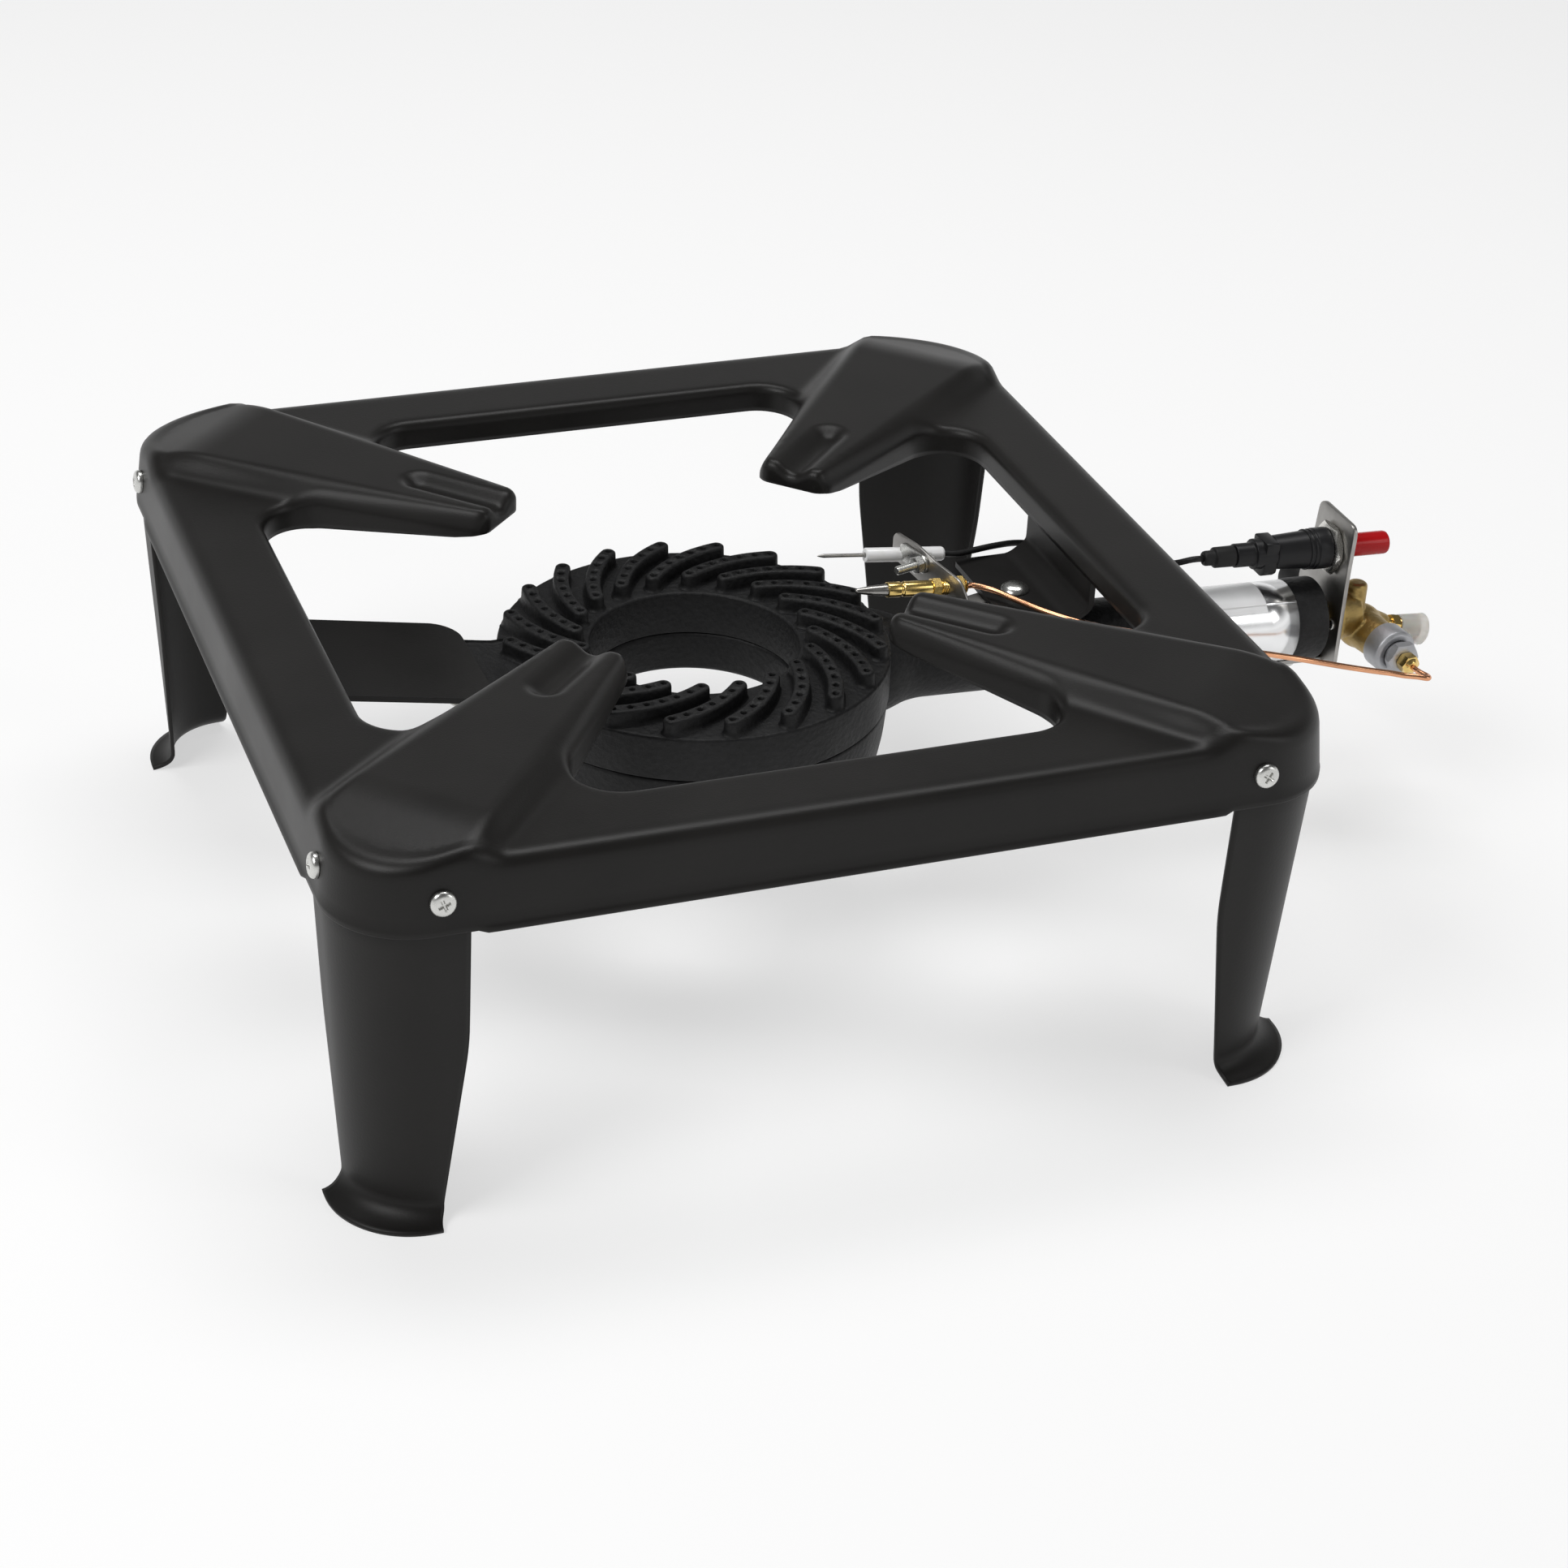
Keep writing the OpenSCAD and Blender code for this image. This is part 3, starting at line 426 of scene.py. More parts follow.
def moved(part, place):
    """A part's points after a placing matrix, with its faces as they are."""
    return [tuple(place @ Vector(p)) for p in part[0]], part[1]


leg_black = coated_steel("leg_black", (0.0085, 0.0078, 0.0072), 900, 0.44)
for name, degrees in (("leg_back_right", 0), ("leg_back_left", 90),
                      ("leg_front_left", 180), ("leg_front_right", 270)):
    leg = make(name + "_pressing", *moved(leg_sheet(), turn("Z", degrees)), leg_black,
               "black_steel", replaces=[name], sharp=50, open_sheet=True)
    thicken(leg, SHEET, offset=1.0)


# The eight leg screws: zinc-plated M6 machine screws with cross-recessed pan
# heads, two to a leg, each with a plain hex nut on the inside.
SCREW_Z, SCREW_AT, HEAD_AROUND, HEX_AROUND = 145.0, 161.6, 64, 48


def joined(*parts):
    points, faces = [], []
    for p, f in parts:
        base = len(points)
        points += list(p)
        faces += [[base + i for i in face] for face in f]
    return points, faces


def shift(x, y, z):
    return Matrix.Translation((x, y, z))


def circle(radius, count):
    return [(radius * math.cos(2 * math.pi * k / count), radius * math.sin(2 * math.pi * k / count))
            for k in range(count)]


def round_bend(a, p, b, radius, steps, share):
    """The corner p between a and b as a curve, no longer than a share of each side."""
    da, db = math.dist(a, p), math.dist(p, b)
    cut = min(radius, da * share, db * share)
    pa = [q + (s - q) * cut / da for q, s in zip(p, a)]
    pb = [q + (s - q) * cut / db for q, s in zip(p, b)]
    return [tuple(curve(i / steps, *c) for c in zip(pa, p, pb)) for i in range(steps + 1)]


def turned(profile, around=48, ease=0.0):
    """A turned part: rows of (radius, height) swept round Z, with eased corners.
    A profile that starts on the axis ends there too. Any other one closes on itself."""
    on_axis = profile[0][0] < 1e-6
    line = []
    for i, p in enumerate(profile):
        beyond = profile[(i + 1) % len(profile)]
        keep = p[0] < 1e-6 or not ease
        line += [p] if keep else round_bend(profile[i - 1], p, beyond, ease, 3, 0.45)
    points, faces, rings = [], [], []
    for r, z in line:
        rings.append(len(points))
        points += [(0, 0, z)] if r < 1e-6 else [(x, y, z) for x, y in circle(r, around)]
    pairs = list(zip(line, line[1:], rings, rings[1:]))
    if not on_axis:
        pairs.append((line[-1], line[0], rings[-1], rings[0]))
    for p, q, a, b in pairs:
        if p[0] >= 1e-6 and q[0] >= 1e-6:
            faces += row_faces((a, b), around)
        elif p[0] >= 1e-6 or q[0] >= 1e-6:
            ring, end = (a, b) if q[0] < 1e-6 else (b, a)
            faces += [[ring + k, ring + (k + 1) % around, end] for k in range(around)]
    return points, faces


def hexagon(across, share, rows):
    """Rows of points round a hexagon. A row is a radius, or None for the flats, a height
    and the way the corners are turned off, down to a share of the width across flats."""
    points = []
    for radius, z, down in rows:
        for k in range(HEX_AROUND):
            a = 2 * math.pi * k / HEX_AROUND
            wide = across / 2 / math.cos(a % (math.pi / 3) - math.pi / 6)
            r = radius or wide
            chamfer = down * (wide - across / 2 * share) * 0.577
            points.append((r * math.cos(a), r * math.sin(a), z + chamfer))
    return points


def hex_nut(across, bore, height):
    """A chamfered hex nut with a countersunk bore, standing on Z 0."""
    rc, sink = across / 2 * 0.965, bore + 0.5
    points = hexagon(across, 0.965, [
        (sink, 0, 0), (rc, 0, 0), (None, 0, 1), (None, height, -1), (rc, height, 0),
        (sink, height, 0), (bore, height - 0.5, 0), (bore, 0.5, 0)])
    return points, row_faces([*range(0, len(points), HEX_AROUND), 0], HEX_AROUND)


def pan_head(radius, height, cross):
    """A domed screw head with a cross recess pressed into it."""
    points = []
    for share in (0, .06, .12, .18, .25, .32, .4, .48, .56, .66, .78, .88, .95, .99, 1):
        dome = 0.28 + 0.72 * (1 - share ** 4) ** 0.5 if share < 1 else 0.25
        for x, y in circle(radius * share, HEAD_AROUND if share else 1):
            arm, reach = sorted((abs(x), abs(y)))
            cut = smooth_step((cross * 0.19 - arm) / 0.22 + 0.5)
            cut *= smooth_step((cross - reach) / 0.35)
            points.append((x, y, height * dome - 1.3 * cut * (1 - 0.35 * reach / cross)))
    points += [(x, y, 0) for x, y in circle(radius, HEAD_AROUND)]
    starts = range(1, len(points), HEAD_AROUND)
    faces = [[0, 1 + k, 1 + (k + 1) % HEAD_AROUND] for k in range(HEAD_AROUND)]
    faces += [[a, d, c, b] for a, b, c, d in row_faces(starts, HEAD_AROUND)]
    return points, faces + [list(range(starts[-1], len(points)))[::-1]]


def plated(name, colour, rough, brushed=(1, 1, 1), wear=0.12, grain=1100, strength=0.1,
           depth=0.00003):
    """Bare or plated metal: uneven gloss, faint drawing marks and small scratches."""
    finish, skin, place = new_finish(name)
    drawn = add_node(finish, "Mapping", {"Vector": place, "Scale": brushed}).outputs["Vector"]
    fine = grain_of(finish, drawn, grain, 3)
    cloud = grain_of(finish, place, 90, 3)
    dark, light = [c * (1 - wear) for c in colour], [min(1, c * (1 + wear)) for c in colour]
    wire_up(finish, skin, {
        "Metallic": 1.0,
        "Base Color": tone_of(finish, cloud, 0.3, 0.7, dark, light),
        "Roughness": spread(finish, fine, max(0.05, rough - 0.06), rough + 0.08),
        "Normal": relief(finish, fine, strength, depth)})
    return finish


def thread(radius, z0, z1, pitch=1.0, around=32):
    """A threaded shank as close rings, closed at both ends."""
    rows = [(0, z0), (radius - 0.5, z0)]
    z = z0 + 0.25
    while z < z1 - pitch:
        rows += [(radius - 0.45, z), (radius, z + pitch / 2)]
        z += pitch
    return turned(rows + [(radius - 0.4, z1), (0, z1)], around)


def leg_screw_places():
    for q in range(4):
        for s in (-1, 1):
            yield (turn("Z", 90 * q) @ shift(s * SCREW_AT, -skirt_half_at(SCREW_Z), SCREW_Z)
                   @ turn("X", 90 - math.degrees(math.atan(SKIRT_SLOPE))))


zinc = plated("zinc_plate", (0.62, 0.62, 0.6), 0.27)
heads = [moved(joined(moved(pan_head(5.0, 3.0, 2.5), shift(0, 0, 0.12)), thread(2.95, -11, 0.4)),
               place @ turn("Z", 20 + 37 * k)) for k, place in enumerate(leg_screw_places())]
make("leg_screws_detail", *joined(*heads), zinc, "zinc_steel", replaces=["leg_screws"])
nuts = [moved(hex_nut(10, 2.97, 4.6), place @ shift(0, 0, -2 * SHEET - LEG_GAP - 6.2))
        for place in leg_screw_places()]
make("leg_nuts_detail", *joined(*nuts), zinc, "zinc_steel", replaces=["leg_nuts"])


# The two supports: 2.5 mm coated straps, each welded by its upturned end to the
# wall of the opening. The left one slopes down to the burner's lug, the right
# one steps down to carry the boss of the mixing tube.
STRAP_T, STRAP_W, STRAP_SLOPE, SLOPE_X, LEDGE_Z = 2.5, 66.0, 10.0, -166.2, 124.5
STRAP_X0, STRAP_Z0 = -(OPENING_HALF + SHEET + 0.2), 139.8
STRAP_ACROSS = 15


def strap_top(x):
    """Height of the left strap's upper face on its slope."""
    return STRAP_Z0 - (x - SLOPE_X) * math.tan(math.radians(STRAP_SLOPE))


def strap(corners, end_round, bend):
    """A flat strap along (x, z) corners, with rounded corners at its far end."""
    line = corners[:1]
    for a, p, b in zip(corners, corners[1:], corners[2:]):
        line += round_bend(a, p, b, bend, 6, 0.49)
    line = resample(line + corners[-1:], 56)
    reach = [0.0]
    for a, b in zip(line, line[1:]):
        reach.append(reach[-1] + math.dist(a, b))
    rows = [(p, reach[-1] - gone) for p, gone in zip(line, reach) if reach[-1] - gone > end_round]
    end, before = line[-1], line[-2]
    d = [(p - q) / math.dist(end, before) for p, q in zip(end, before)]
    for s in range(11):
        left = end_round * (1 - math.sin(math.radians(9 * s)))
        rows.append(((end[0] - d[0] * left, end[1] - d[1] * left), left))
    points = []
    for (x, z), left in rows:
        cut = max(0.0, end_round - left)
        half = STRAP_W / 2 - end_round + math.sqrt(end_round ** 2 - cut ** 2)
        points += [(x, half * (k / 7 - 1), z) for k in range(STRAP_ACROSS)]
    return points, row_faces(range(0, len(points), STRAP_ACROSS), STRAP_ACROSS, ring=False)


def softened(ob, width, angle=40):
    """Rounds the edges that a tumbler or a coat of powder would round."""
    mod = ob.modifiers.new("edges", "BEVEL")
    mod.width = width * MM
    mod.segments = 2
    mod.limit_method = "ANGLE"
    mod.angle_limit = math.radians(angle)
    mod.harden_normals = True
    return ob


strap_black = coated_steel("strap_black", (0.009, 0.0084, 0.008), 1200, 0.44)
mid_x, mid_down, mid_ledge = STRAP_X0 - STRAP_T / 2, 1.27, LEDGE_Z + STRAP_T / 2
left_line = [(mid_x, 153.4), (mid_x, strap_top(mid_x) - mid_down), (-94, strap_top(-94) - mid_down)]
right_line = [(-mid_x, 153.4), (-mid_x, LEDGE_Z + 7.4), (156, mid_ledge), (130, mid_ledge)]
for name, line, end_round, bend in (("support_left", left_line, 12, 4.0),
                                    ("support_right", right_line, 3, 3.0)):
    sheet = make(name + "_strap", *strap(line, end_round, bend), strap_black, "black_steel",
                 replaces=[name], sharp=60)
    softened(thicken(sheet, STRAP_T, 0), 0.4)


# The support stud: an M6 zinc stud and nut that clamp the burner's lug up
# against the left strap from below.
STUD_X = -99.5
at_stud = shift(STUD_X, 0, strap_top(STUD_X) - STRAP_T) @ turn("Y", STRAP_SLOPE)
make("support_stud_thread", *moved(thread(2.9, -17.5, -0.2), at_stud), zinc, "zinc_steel",
     replaces=["support_stud"])
make("support_stud_nut_detail", *moved(hex_nut(10, 2.95, 4.6), at_stud @ shift(0, 0, -15)),
     zinc, "zinc_steel", replaces=["support_stud_nut"])


# The burner base: a sand-cast iron bowl with the mixing tube cast on as one
# piece, ending in an air bell. A boss on the tube carries it on the right strap.
BURNER_R, HOLE_R, SEAM_Z, RING_FLOOR = 82.0, 43.5, 103.0, 85.0
PLATE_Z, RIB_Z = 122.5, 129.0
TUBE_R, TUBE_BORE, TUBE_END, TUBE_FALL = 17.5, 13.5, 291.5, 2.3
TUBE_Z0, COACH_X = 104.95, 144.6
in_tube = shift(0, 0, TUBE_Z0) @ turn("Y", TUBE_FALL)


def at_u(u, w=0.0, v=0.0):
    """A place on the mixing tube, with Z along it to its open end and X down."""
    return in_tube @ shift(u, v, w) @ turn("Y", 90)


def cast_iron(name, colour, coarse=420):
    """Black-enamelled sand casting: a coarse gritty skin, with painted shade that darkens its pits.
    """
    finish, skin, place = new_finish(name)
    grit_and_pit_shade = add_node(finish, "TexNoise", {"Vector": place, "Scale": coarse, "Detail": 6,
                                         "Roughness": 0.62}).outputs["Fac"]
    pits = add_node(finish, "TexVoronoi", {"Vector": place, "Scale": coarse * 0.9})
    both = add_node(finish, "Math", {0: pits.outputs["Distance"], 1: 0.5, 2: grit_and_pit_shade})
    both.operation = "MULTIPLY_ADD"
    # Painted shade: the grit lightens the colour where the bumps rise and darkens it in the pits.
    dark, light = [c * 0.55 for c in colour], [c * 1.5 for c in colour]
    wire_up(finish, skin, {
        "Base Color": tone_of(finish, grit_and_pit_shade, 0.35, 0.72, dark, light),
        "Roughness": spread(finish, grain_of(finish, place, 40, 2), 0.42, 0.68),
        "Specular IOR Level": 0.3,
        "Normal": relief(finish, both.outputs[0], 0.6, 0.0006)})
    return finish


iron = cast_iron("burner_iron", (0.0062, 0.0062, 0.0066))
bowl = turned([
    (HOLE_R, SEAM_Z), (HOLE_R, RING_FLOOR + 1.5), (HOLE_R + 1.5, RING_FLOOR), (63.5, RING_FLOOR),
    (71, 76.5), (76, 75.2), (79, 78.5), (80.6, 88), (BURNER_R - 0.3, SEAM_Z), (77.8, SEAM_Z),
    (76.4, 88), (75, 80), (72, 80.6), (64.5, RING_FLOOR + 4), (47.5, RING_FLOOR + 4),
    (47.5, SEAM_Z)][::-1], 128, 2.2)
tube = moved(turned([
    (TUBE_BORE, 70), (TUBE_BORE, 276), (15.8, TUBE_END), (18.4, TUBE_END), (18.4, 279),
    (TUBE_R, 275), (TUBE_R, 99), (18.6, 92), (21, 86), (22.8, 80), (22.8, 70)][::-1], 96, 3),
    at_u(0))
boss = moved(turned([(0, 101), (12.5, 101), (12.5, 112), (9.6, 119), (9, LEDGE_Z - 1.45),
                     (0, LEDGE_Z - 1.45)], 48, 2.5), shift(COACH_X, 0, 0))
make("burner_base_casting", *joined(bowl, tube, boss), iron, "cast_iron",
     replaces=["burner_base"], sharp=50)


# The burner head: the second iron casting, a flat ring plate with twenty bowed
# ribs. Seven flame ports are drilled through each rib, and a lug at the left
# goes under the strap.
RIBS, RIB_W, PORTS, PORT_R, PORT_AROUND = 20, 6.8, 7, 1.25, 16
RIB_IN, RIB_OUT, RIB_SWEEP, RIB_FIRST, RIB_BOW = 49.5, 77.1, 28.0, 154.3, 60.0


def rib_bend():
    """The middle of the rib's bow and the angles of its outer and inner end from there."""
    sweep = math.radians(RIB_SWEEP)
    a, b = (RIB_OUT, 0.0), (RIB_IN * math.cos(sweep), RIB_IN * math.sin(sweep))
    d = (b[0] - a[0], b[1] - a[1])
    span = math.hypot(*d)
    k = math.sqrt(RIB_BOW ** 2 - span ** 2 / 4)
    c = ((a[0] + b[0]) / 2 - d[1] / span * k, (a[1] + b[1]) / 2 + d[0] / span * k)
    return c, math.atan2(a[1] - c[1], a[0] - c[0]), math.atan2(b[1] - c[1], b[0] - c[0])


def on_bow(radius, share):
    """A point at a share of the rib's bow, from its outer end to its inner end."""
    c, a0, a1 = rib_bend()
    a = a0 + (a1 - a0) * share
    return c[0] + radius * math.cos(a), c[1] + radius * math.sin(a)


def rib_outline(inset):
    """The bowed rib's outline, counter-clockwise, moved in from its sides."""
    a0, a1 = (math.degrees(a) for a in rib_bend()[1:])
    half = RIB_W / 2 - inset
    half_turn = math.copysign(180, a1 - a0)
    line = [on_bow(RIB_BOW + half, i / 14) for i in range(15)]
    line += arc(*on_bow(RIB_BOW, 1), half, a1, a1 + half_turn, 10)[1:-1]
    line += [on_bow(RIB_BOW - half, 1 - i / 14) for i in range(15)]
    line += arc(*on_bow(RIB_BOW, 0), half, a0 + 180, a0 + 180 + half_turn, 10)[1:-1]
    return line if a1 > a0 else line[::-1]


def rib():
    """One rib with its seven drilled ports, standing on the plate."""
    points = []
    sides = [(PLATE_Z - 0.4, -1.5), (PLATE_Z + 0.1, -0.75), (PLATE_Z + 0.9, -0.2),
             (PLATE_Z + 2, -0.02), (RIB_Z - 1.3, 0.12), (RIB_Z - 0.55, 0.3),
             (RIB_Z - 0.15, 0.7), (RIB_Z, 1.25)]
    for z, inset in sides:
        points += [(x, y, z) for x, y in rib_outline(inset)]
    count = len(points) // len(sides)
    base = len(points) - count
    faces = row_faces(range(0, len(points), count), count)
    shape = [p[:2] for p in points[base:]]
    flat = list(shape)
    edges = [(k, (k + 1) % count) for k in range(count)]
    ports = [on_bow(RIB_BOW, i / (PORTS - 1)) for i in range(PORTS)]
    for x, y in ports:
        first = len(flat)
        flat += [(x + dx, y + dy) for dx, dy in circle(PORT_R + 0.2, PORT_AROUND)]
        edges += [(first + k, first + (k + 1) % PORT_AROUND) for k in range(PORT_AROUND)]
    out = geometry.delaunay_2d_cdt([Vector(p) for p in flat], edges, [], 0, 1e-6)
    ids, top = {}, []
    for p, sources in zip(out[0], out[3]):
        source = sources[0] if sources else -1
        if 0 <= source < count:
            top.append(base + source)
        else:
            ids[source] = len(points)
            top.append(len(points))
            points.append((p.x, p.y, RIB_Z))
    for f in out[2]:
        mid = (sum(out[0][i].x for i in f) / 3, sum(out[0][i].y for i in f) / 3)
        if inside(mid, shape) and min(math.dist(mid, q) for q in ports) > PORT_R + 0.1:
            faces.append([top[i] for i in f])
    for i, (x, y) in enumerate(ports):
        rings = [[ids[count + i * PORT_AROUND + k] for k in range(PORT_AROUND)]]
        for z in (RIB_Z - 0.3, PLATE_Z - 5):
            rings.append(range(len(points), len(points) + PORT_AROUND))
            points += [(x + dx, y + dy, z) for dx, dy in circle(PORT_R, PORT_AROUND)]
        for a, b in zip(rings, rings[1:]):
            faces += [[a[k - 1], b[k - 1], b[k], a[k]] for k in range(PORT_AROUND)]
        faces.append(list(rings[-1]))
    return points, faces


def end_faces(total, around):
    """The two flat faces that close the first and the last row."""
    return [list(range(around))[::-1], list(range(total - around, total))]


def slab(outline, z0, z1, ease, steps=2):
    """A flat solid from a counter-clockwise outline, its edges rounded."""
    n = len(outline)

    def inset(e):
        out = []
        for i, p in enumerate(outline):
            a, b = outline[i - 1], outline[(i + 1) % n]
            d1 = Vector((p[0] - a[0], p[1] - a[1])).normalized()
            d2 = Vector((b[0] - p[0], b[1] - p[1])).normalized()
            nrm = Vector((-d1.y - d2.y, d1.x + d2.x))
            nrm.normalize()
            k = e / max(0.5, nrm.dot(Vector((-d1.y, d1.x))))
            out.append((p[0] + nrm.x * k, p[1] + nrm.y * k))
        return out

    turns = [math.pi / 2 * (1 - i / steps) for i in range(steps)]
    low = [(z0 + ease * (1 - math.sin(a)), ease * (1 - math.cos(a))) for a in turns]
    high = [(z0 + z1 - z, e) for z, e in low[::-1]]
    points = []
    for z, e in low + [(z0 + ease, 0), (z1 - ease, 0)] + high:
        points += [(x, y, z) for x, y in inset(e)]
    return points, row_faces(range(0, len(points), n), n) + end_faces(len(points), n)


plate = turned([
    (HOLE_R, SEAM_Z + 0.2), (HOLE_R, PLATE_Z - 0.8), (HOLE_R + 0.8, PLATE_Z),
    (BURNER_R - 0.8, PLATE_Z), (BURNER_R, PLATE_Z - 0.8), (BURNER_R, SEAM_Z + 0.8),
    (BURNER_R - 0.6, SEAM_Z + 0.2), (77.8, SEAM_Z + 0.2), (77.8, 118), (47.5, 118),
    (47.5, SEAM_Z + 0.2)][::-1], 160, 0.8)
one_rib = rib()
ribs = [moved(one_rib, turn("Z", RIB_FIRST - 360 / RIBS * i)) for i in range(RIBS)]
LUG_IN, LUG_OUT, LUG_T = -86, -104, 9
under_in, under_out = (strap_top(x) - STRAP_T - 0.1 for x in (LUG_IN, LUG_OUT))
lug = moved(slab([(-76, under_in - 7.5), (-76, PLATE_Z - 0.05), (-82, PLATE_Z - 0.05),
                  (LUG_IN, under_in), (LUG_OUT, under_out), (LUG_OUT, under_out - LUG_T),
                  (LUG_IN, under_in - LUG_T)][::-1], -21, 21, 1.4, 3), turn("X", 90))
make("burner_head_casting", *joined(plate, lug, *ribs), iron, "cast_iron",
     replaces=["burner_head"], sharp=42)


# The burner's joint screws: three cap screws of dull steel, driven up from below
# through the bowl's floor, that pull the two castings together.
steel_dull = plated("dull_steel", (0.32, 0.32, 0.31), 0.38)
cap = turned([(0, 81.9), (2.0, 81.9), (2.0, 83.4), (2.3, 81.9), (4.2, 81.9), (4.2, 84.8),
              (2, 84.8), (2, 112.5), (0, 112.5)], 32, 0.4)
screws = [moved(cap, turn("Z", a) @ shift(57, 0, 0)) for a in (90, 210, 330)]
make("burner_joint_screws_detail", *joined(*screws), steel_dull, "zinc_steel",
     replaces=["burner_joint_screws"])


# The coach screw: a zinc cup-head bolt that holds the strap, the igniter
# bracket and the tube's boss together.
cup = turned([(0, 3.1), (1.6, 3.02), (3.2, 2.7), (4.7, 2.05), (5.7, 1.2), (6.2, 0.4),
              (6.1, 0), (2.9, 0), (2.9, -11.7), (0, -11.7)], 48, 0.4)
make("coach_screw_detail", *moved(cup, shift(COACH_X, 0, LEDGE_Z + STRAP_T + 0.05)), zinc,
     "zinc_steel", replaces=["coach_screw"])


# The tube's sleeve: a wrapped band of bright aluminium sheet with one lapped
# seam, carrying a bare pale panel where a data label would be.
SLEEVE_FROM, SLEEVE_LONG = TUBE_END - 69.5, 54.5


def wrapped_band(radius, length, thick, around=120):
    """A thin band with a lapped seam, its ends trimmed square."""
    points = []
    across = around + 7
    for u in (0, 0.25, 0.5, 0.75, 1.0):
        for k in range(across):
            a = 2 * math.pi * k / around
            r = radius + thick * 0.6 * smooth_step((k - around + 2) / 5)
            points.append((r * math.cos(a), r * math.sin(a), length * u))
    return points, row_faces(range(0, len(points), across), across, ring=False)


sleeve_bright = plated("sleeve_bright", (0.86, 0.865, 0.87), 0.2, brushed=(1, 6, 6), wear=0.03)
spot = add_node(sleeve_bright, "TexCoord", {}).outputs["Object"]
split = add_node(sleeve_bright, "SeparateXYZ", {"Vector": spot})


def product(a, b):
    node = add_node(sleeve_bright, "Math", {0: a, 1: b})
    node.operation = "MULTIPLY"
    return node.outputs[0]


def between(axis, low, high, soft=0.0003):
    """One inside a range of a coordinate, nothing outside it."""
    value = split.outputs[axis]
    rise, fall = (add_node(sleeve_bright, "MapRange", {
        "Value": value, "From Min": at - step, "From Max": at + step}).outputs["Result"]
        for at, step in ((low, soft), (high, -soft)))
    return product(rise, fall)


panel = product(product(between("X", 0.229, 0.262), between("Y", -0.0135, 0.009)),
                between("Z", 0.099, 0.14))
wire_up(sleeve_bright, sleeve_bright.node_tree.nodes["Principled BSDF"],
        {"Metallic": spread(sleeve_bright, panel, 1.0, 0.05)})
band = moved(wrapped_band(TUBE_R + 0.15, SLEEVE_LONG, 0.4), at_u(SLEEVE_FROM) @ turn("Z", 200))
sleeve = make("tube_sleeve_band", *band, sleeve_bright, "sleeve_aluminium",
              replaces=["tube_sleeve"], sharp=60, open_sheet=True)
thicken(sleeve, 0.35, 1)


# The valve bracket: 2 mm plain steel, laser cut, with a tongue folded in under
# the tube and held there by one screw. It carries the valve and the spark unit.
BRACKET_U, BRACKET_T = TUBE_END + 6.5, 2.0
PIEZO_W, PIEZO_V = 33.0, 2.5


def round_corners(outline, radii):
    """A closed outline with each corner rounded by its own radius."""
    out = []
    for i, p in enumerate(outline):
        beyond = outline[(i + 1) % len(outline)]
        out += round_bend(outline[i - 1], p, beyond, radii[i], 5, 0.49)
    return out


face_line = round_corners(
    [(-15.5, -20), (19, -20), (20, -3.5), (27.0, 7.5), (20.2, 22.5), (20, 29), (18.5, 49.5),
     (-13.5, 49.5), (-13.5, 24)], [5, 5, 4, 5, 4, 4, 5, 5, 5])
face_plate = moved(slab(face_line, 0, BRACKET_T, 0.3), at_u(BRACKET_U) @ turn("Z", 90))
tongue_w = -(TUBE_R + 0.95)
tongue_line = round_corners([(-30, -5), (0.5, -5), (0.5, 11), (-30, 11)], [3, 0.3, 0.3, 3])
tongue = moved(slab(tongue_line, -BRACKET_T, 0, 0.3), in_tube @ shift(BRACKET_U, 0, tongue_w))
sheet_steel = plated("sheet_steel", (0.36, 0.35, 0.335), 0.36, brushed=(3, 1, 1), wear=0.16)
make("valve_bracket_plate", *joined(face_plate, tongue), sheet_steel, "bracket_steel",
     replaces=["valve_bracket"], sharp=30)


# The bracket screw: a short zinc pan-head screw from below, through the tongue
# into the bell of the tube.
bracket_at = at_u(TUBE_END - 8.5) @ turn("Y", 90)
make("bracket_screw_detail",
     *joined(moved(pan_head(3.8, 2.5, 2.0), bracket_at @ shift(0, 0, TUBE_R + 3.05)),
             moved(thread(1.95, 14.2, TUBE_R + 3.0, 0.7), bracket_at)),
     zinc, "zinc_steel", replaces=["bracket_screw"])


# The gas parts: a forged brass valve body riveted to the bracket, its jet in the
# tube's bell, the nickel-plated magnet housing and the flare nut of the probe line.
VALVE_U, VALVE_W, VALVE_TURN, INLET_DIP = BRACKET_U + 20.7, -7.6, 6.0, 13.0
in_valve = in_tube @ shift(VALVE_U, 1, VALVE_W)
valve_axis = in_valve @ turn("Z", VALVE_TURN) @ turn("X", 90)
inlet_axis = in_valve @ shift(0, 1, 2) @ turn("Y", 90 + INLET_DIP)


def metal_with_skin(name, colour, rough, grain, depth):
    """A forged or cast metal: bright, with the fine skin of its die."""
    return plated(name, colour, rough, wear=0.16, grain=grain, strength=0.5, depth=depth)


def cone(r0, r1, z0, z1, ease=0.6):
    return turned([(0, z0), (r0, z0), (r1, z1), (0, z1)], 40, ease)


def rod(radius, z0, z1, ease=0.6):
    return cone(radius, radius, z0, z1, ease)


def ball(radius, rows=14):
    tilts = [math.pi * i / rows for i in range(rows + 1)]
    return turned([(radius * math.sin(a), -radius * math.cos(a)) for a in tilts], 40)


def hex_rod(across, z0, z1):
    """A solid hexagon with chamfered ends."""
    rc = across / 2 * 0.97
    points = hexagon(across, 0.97, [(rc, z0, 0), (None, z0, 1), (None, z1, -1), (rc, z1, 0)])
    starts = range(0, len(points), HEX_AROUND)
    return points, row_faces(starts, HEX_AROUND) + end_faces(len(points), HEX_AROUND)


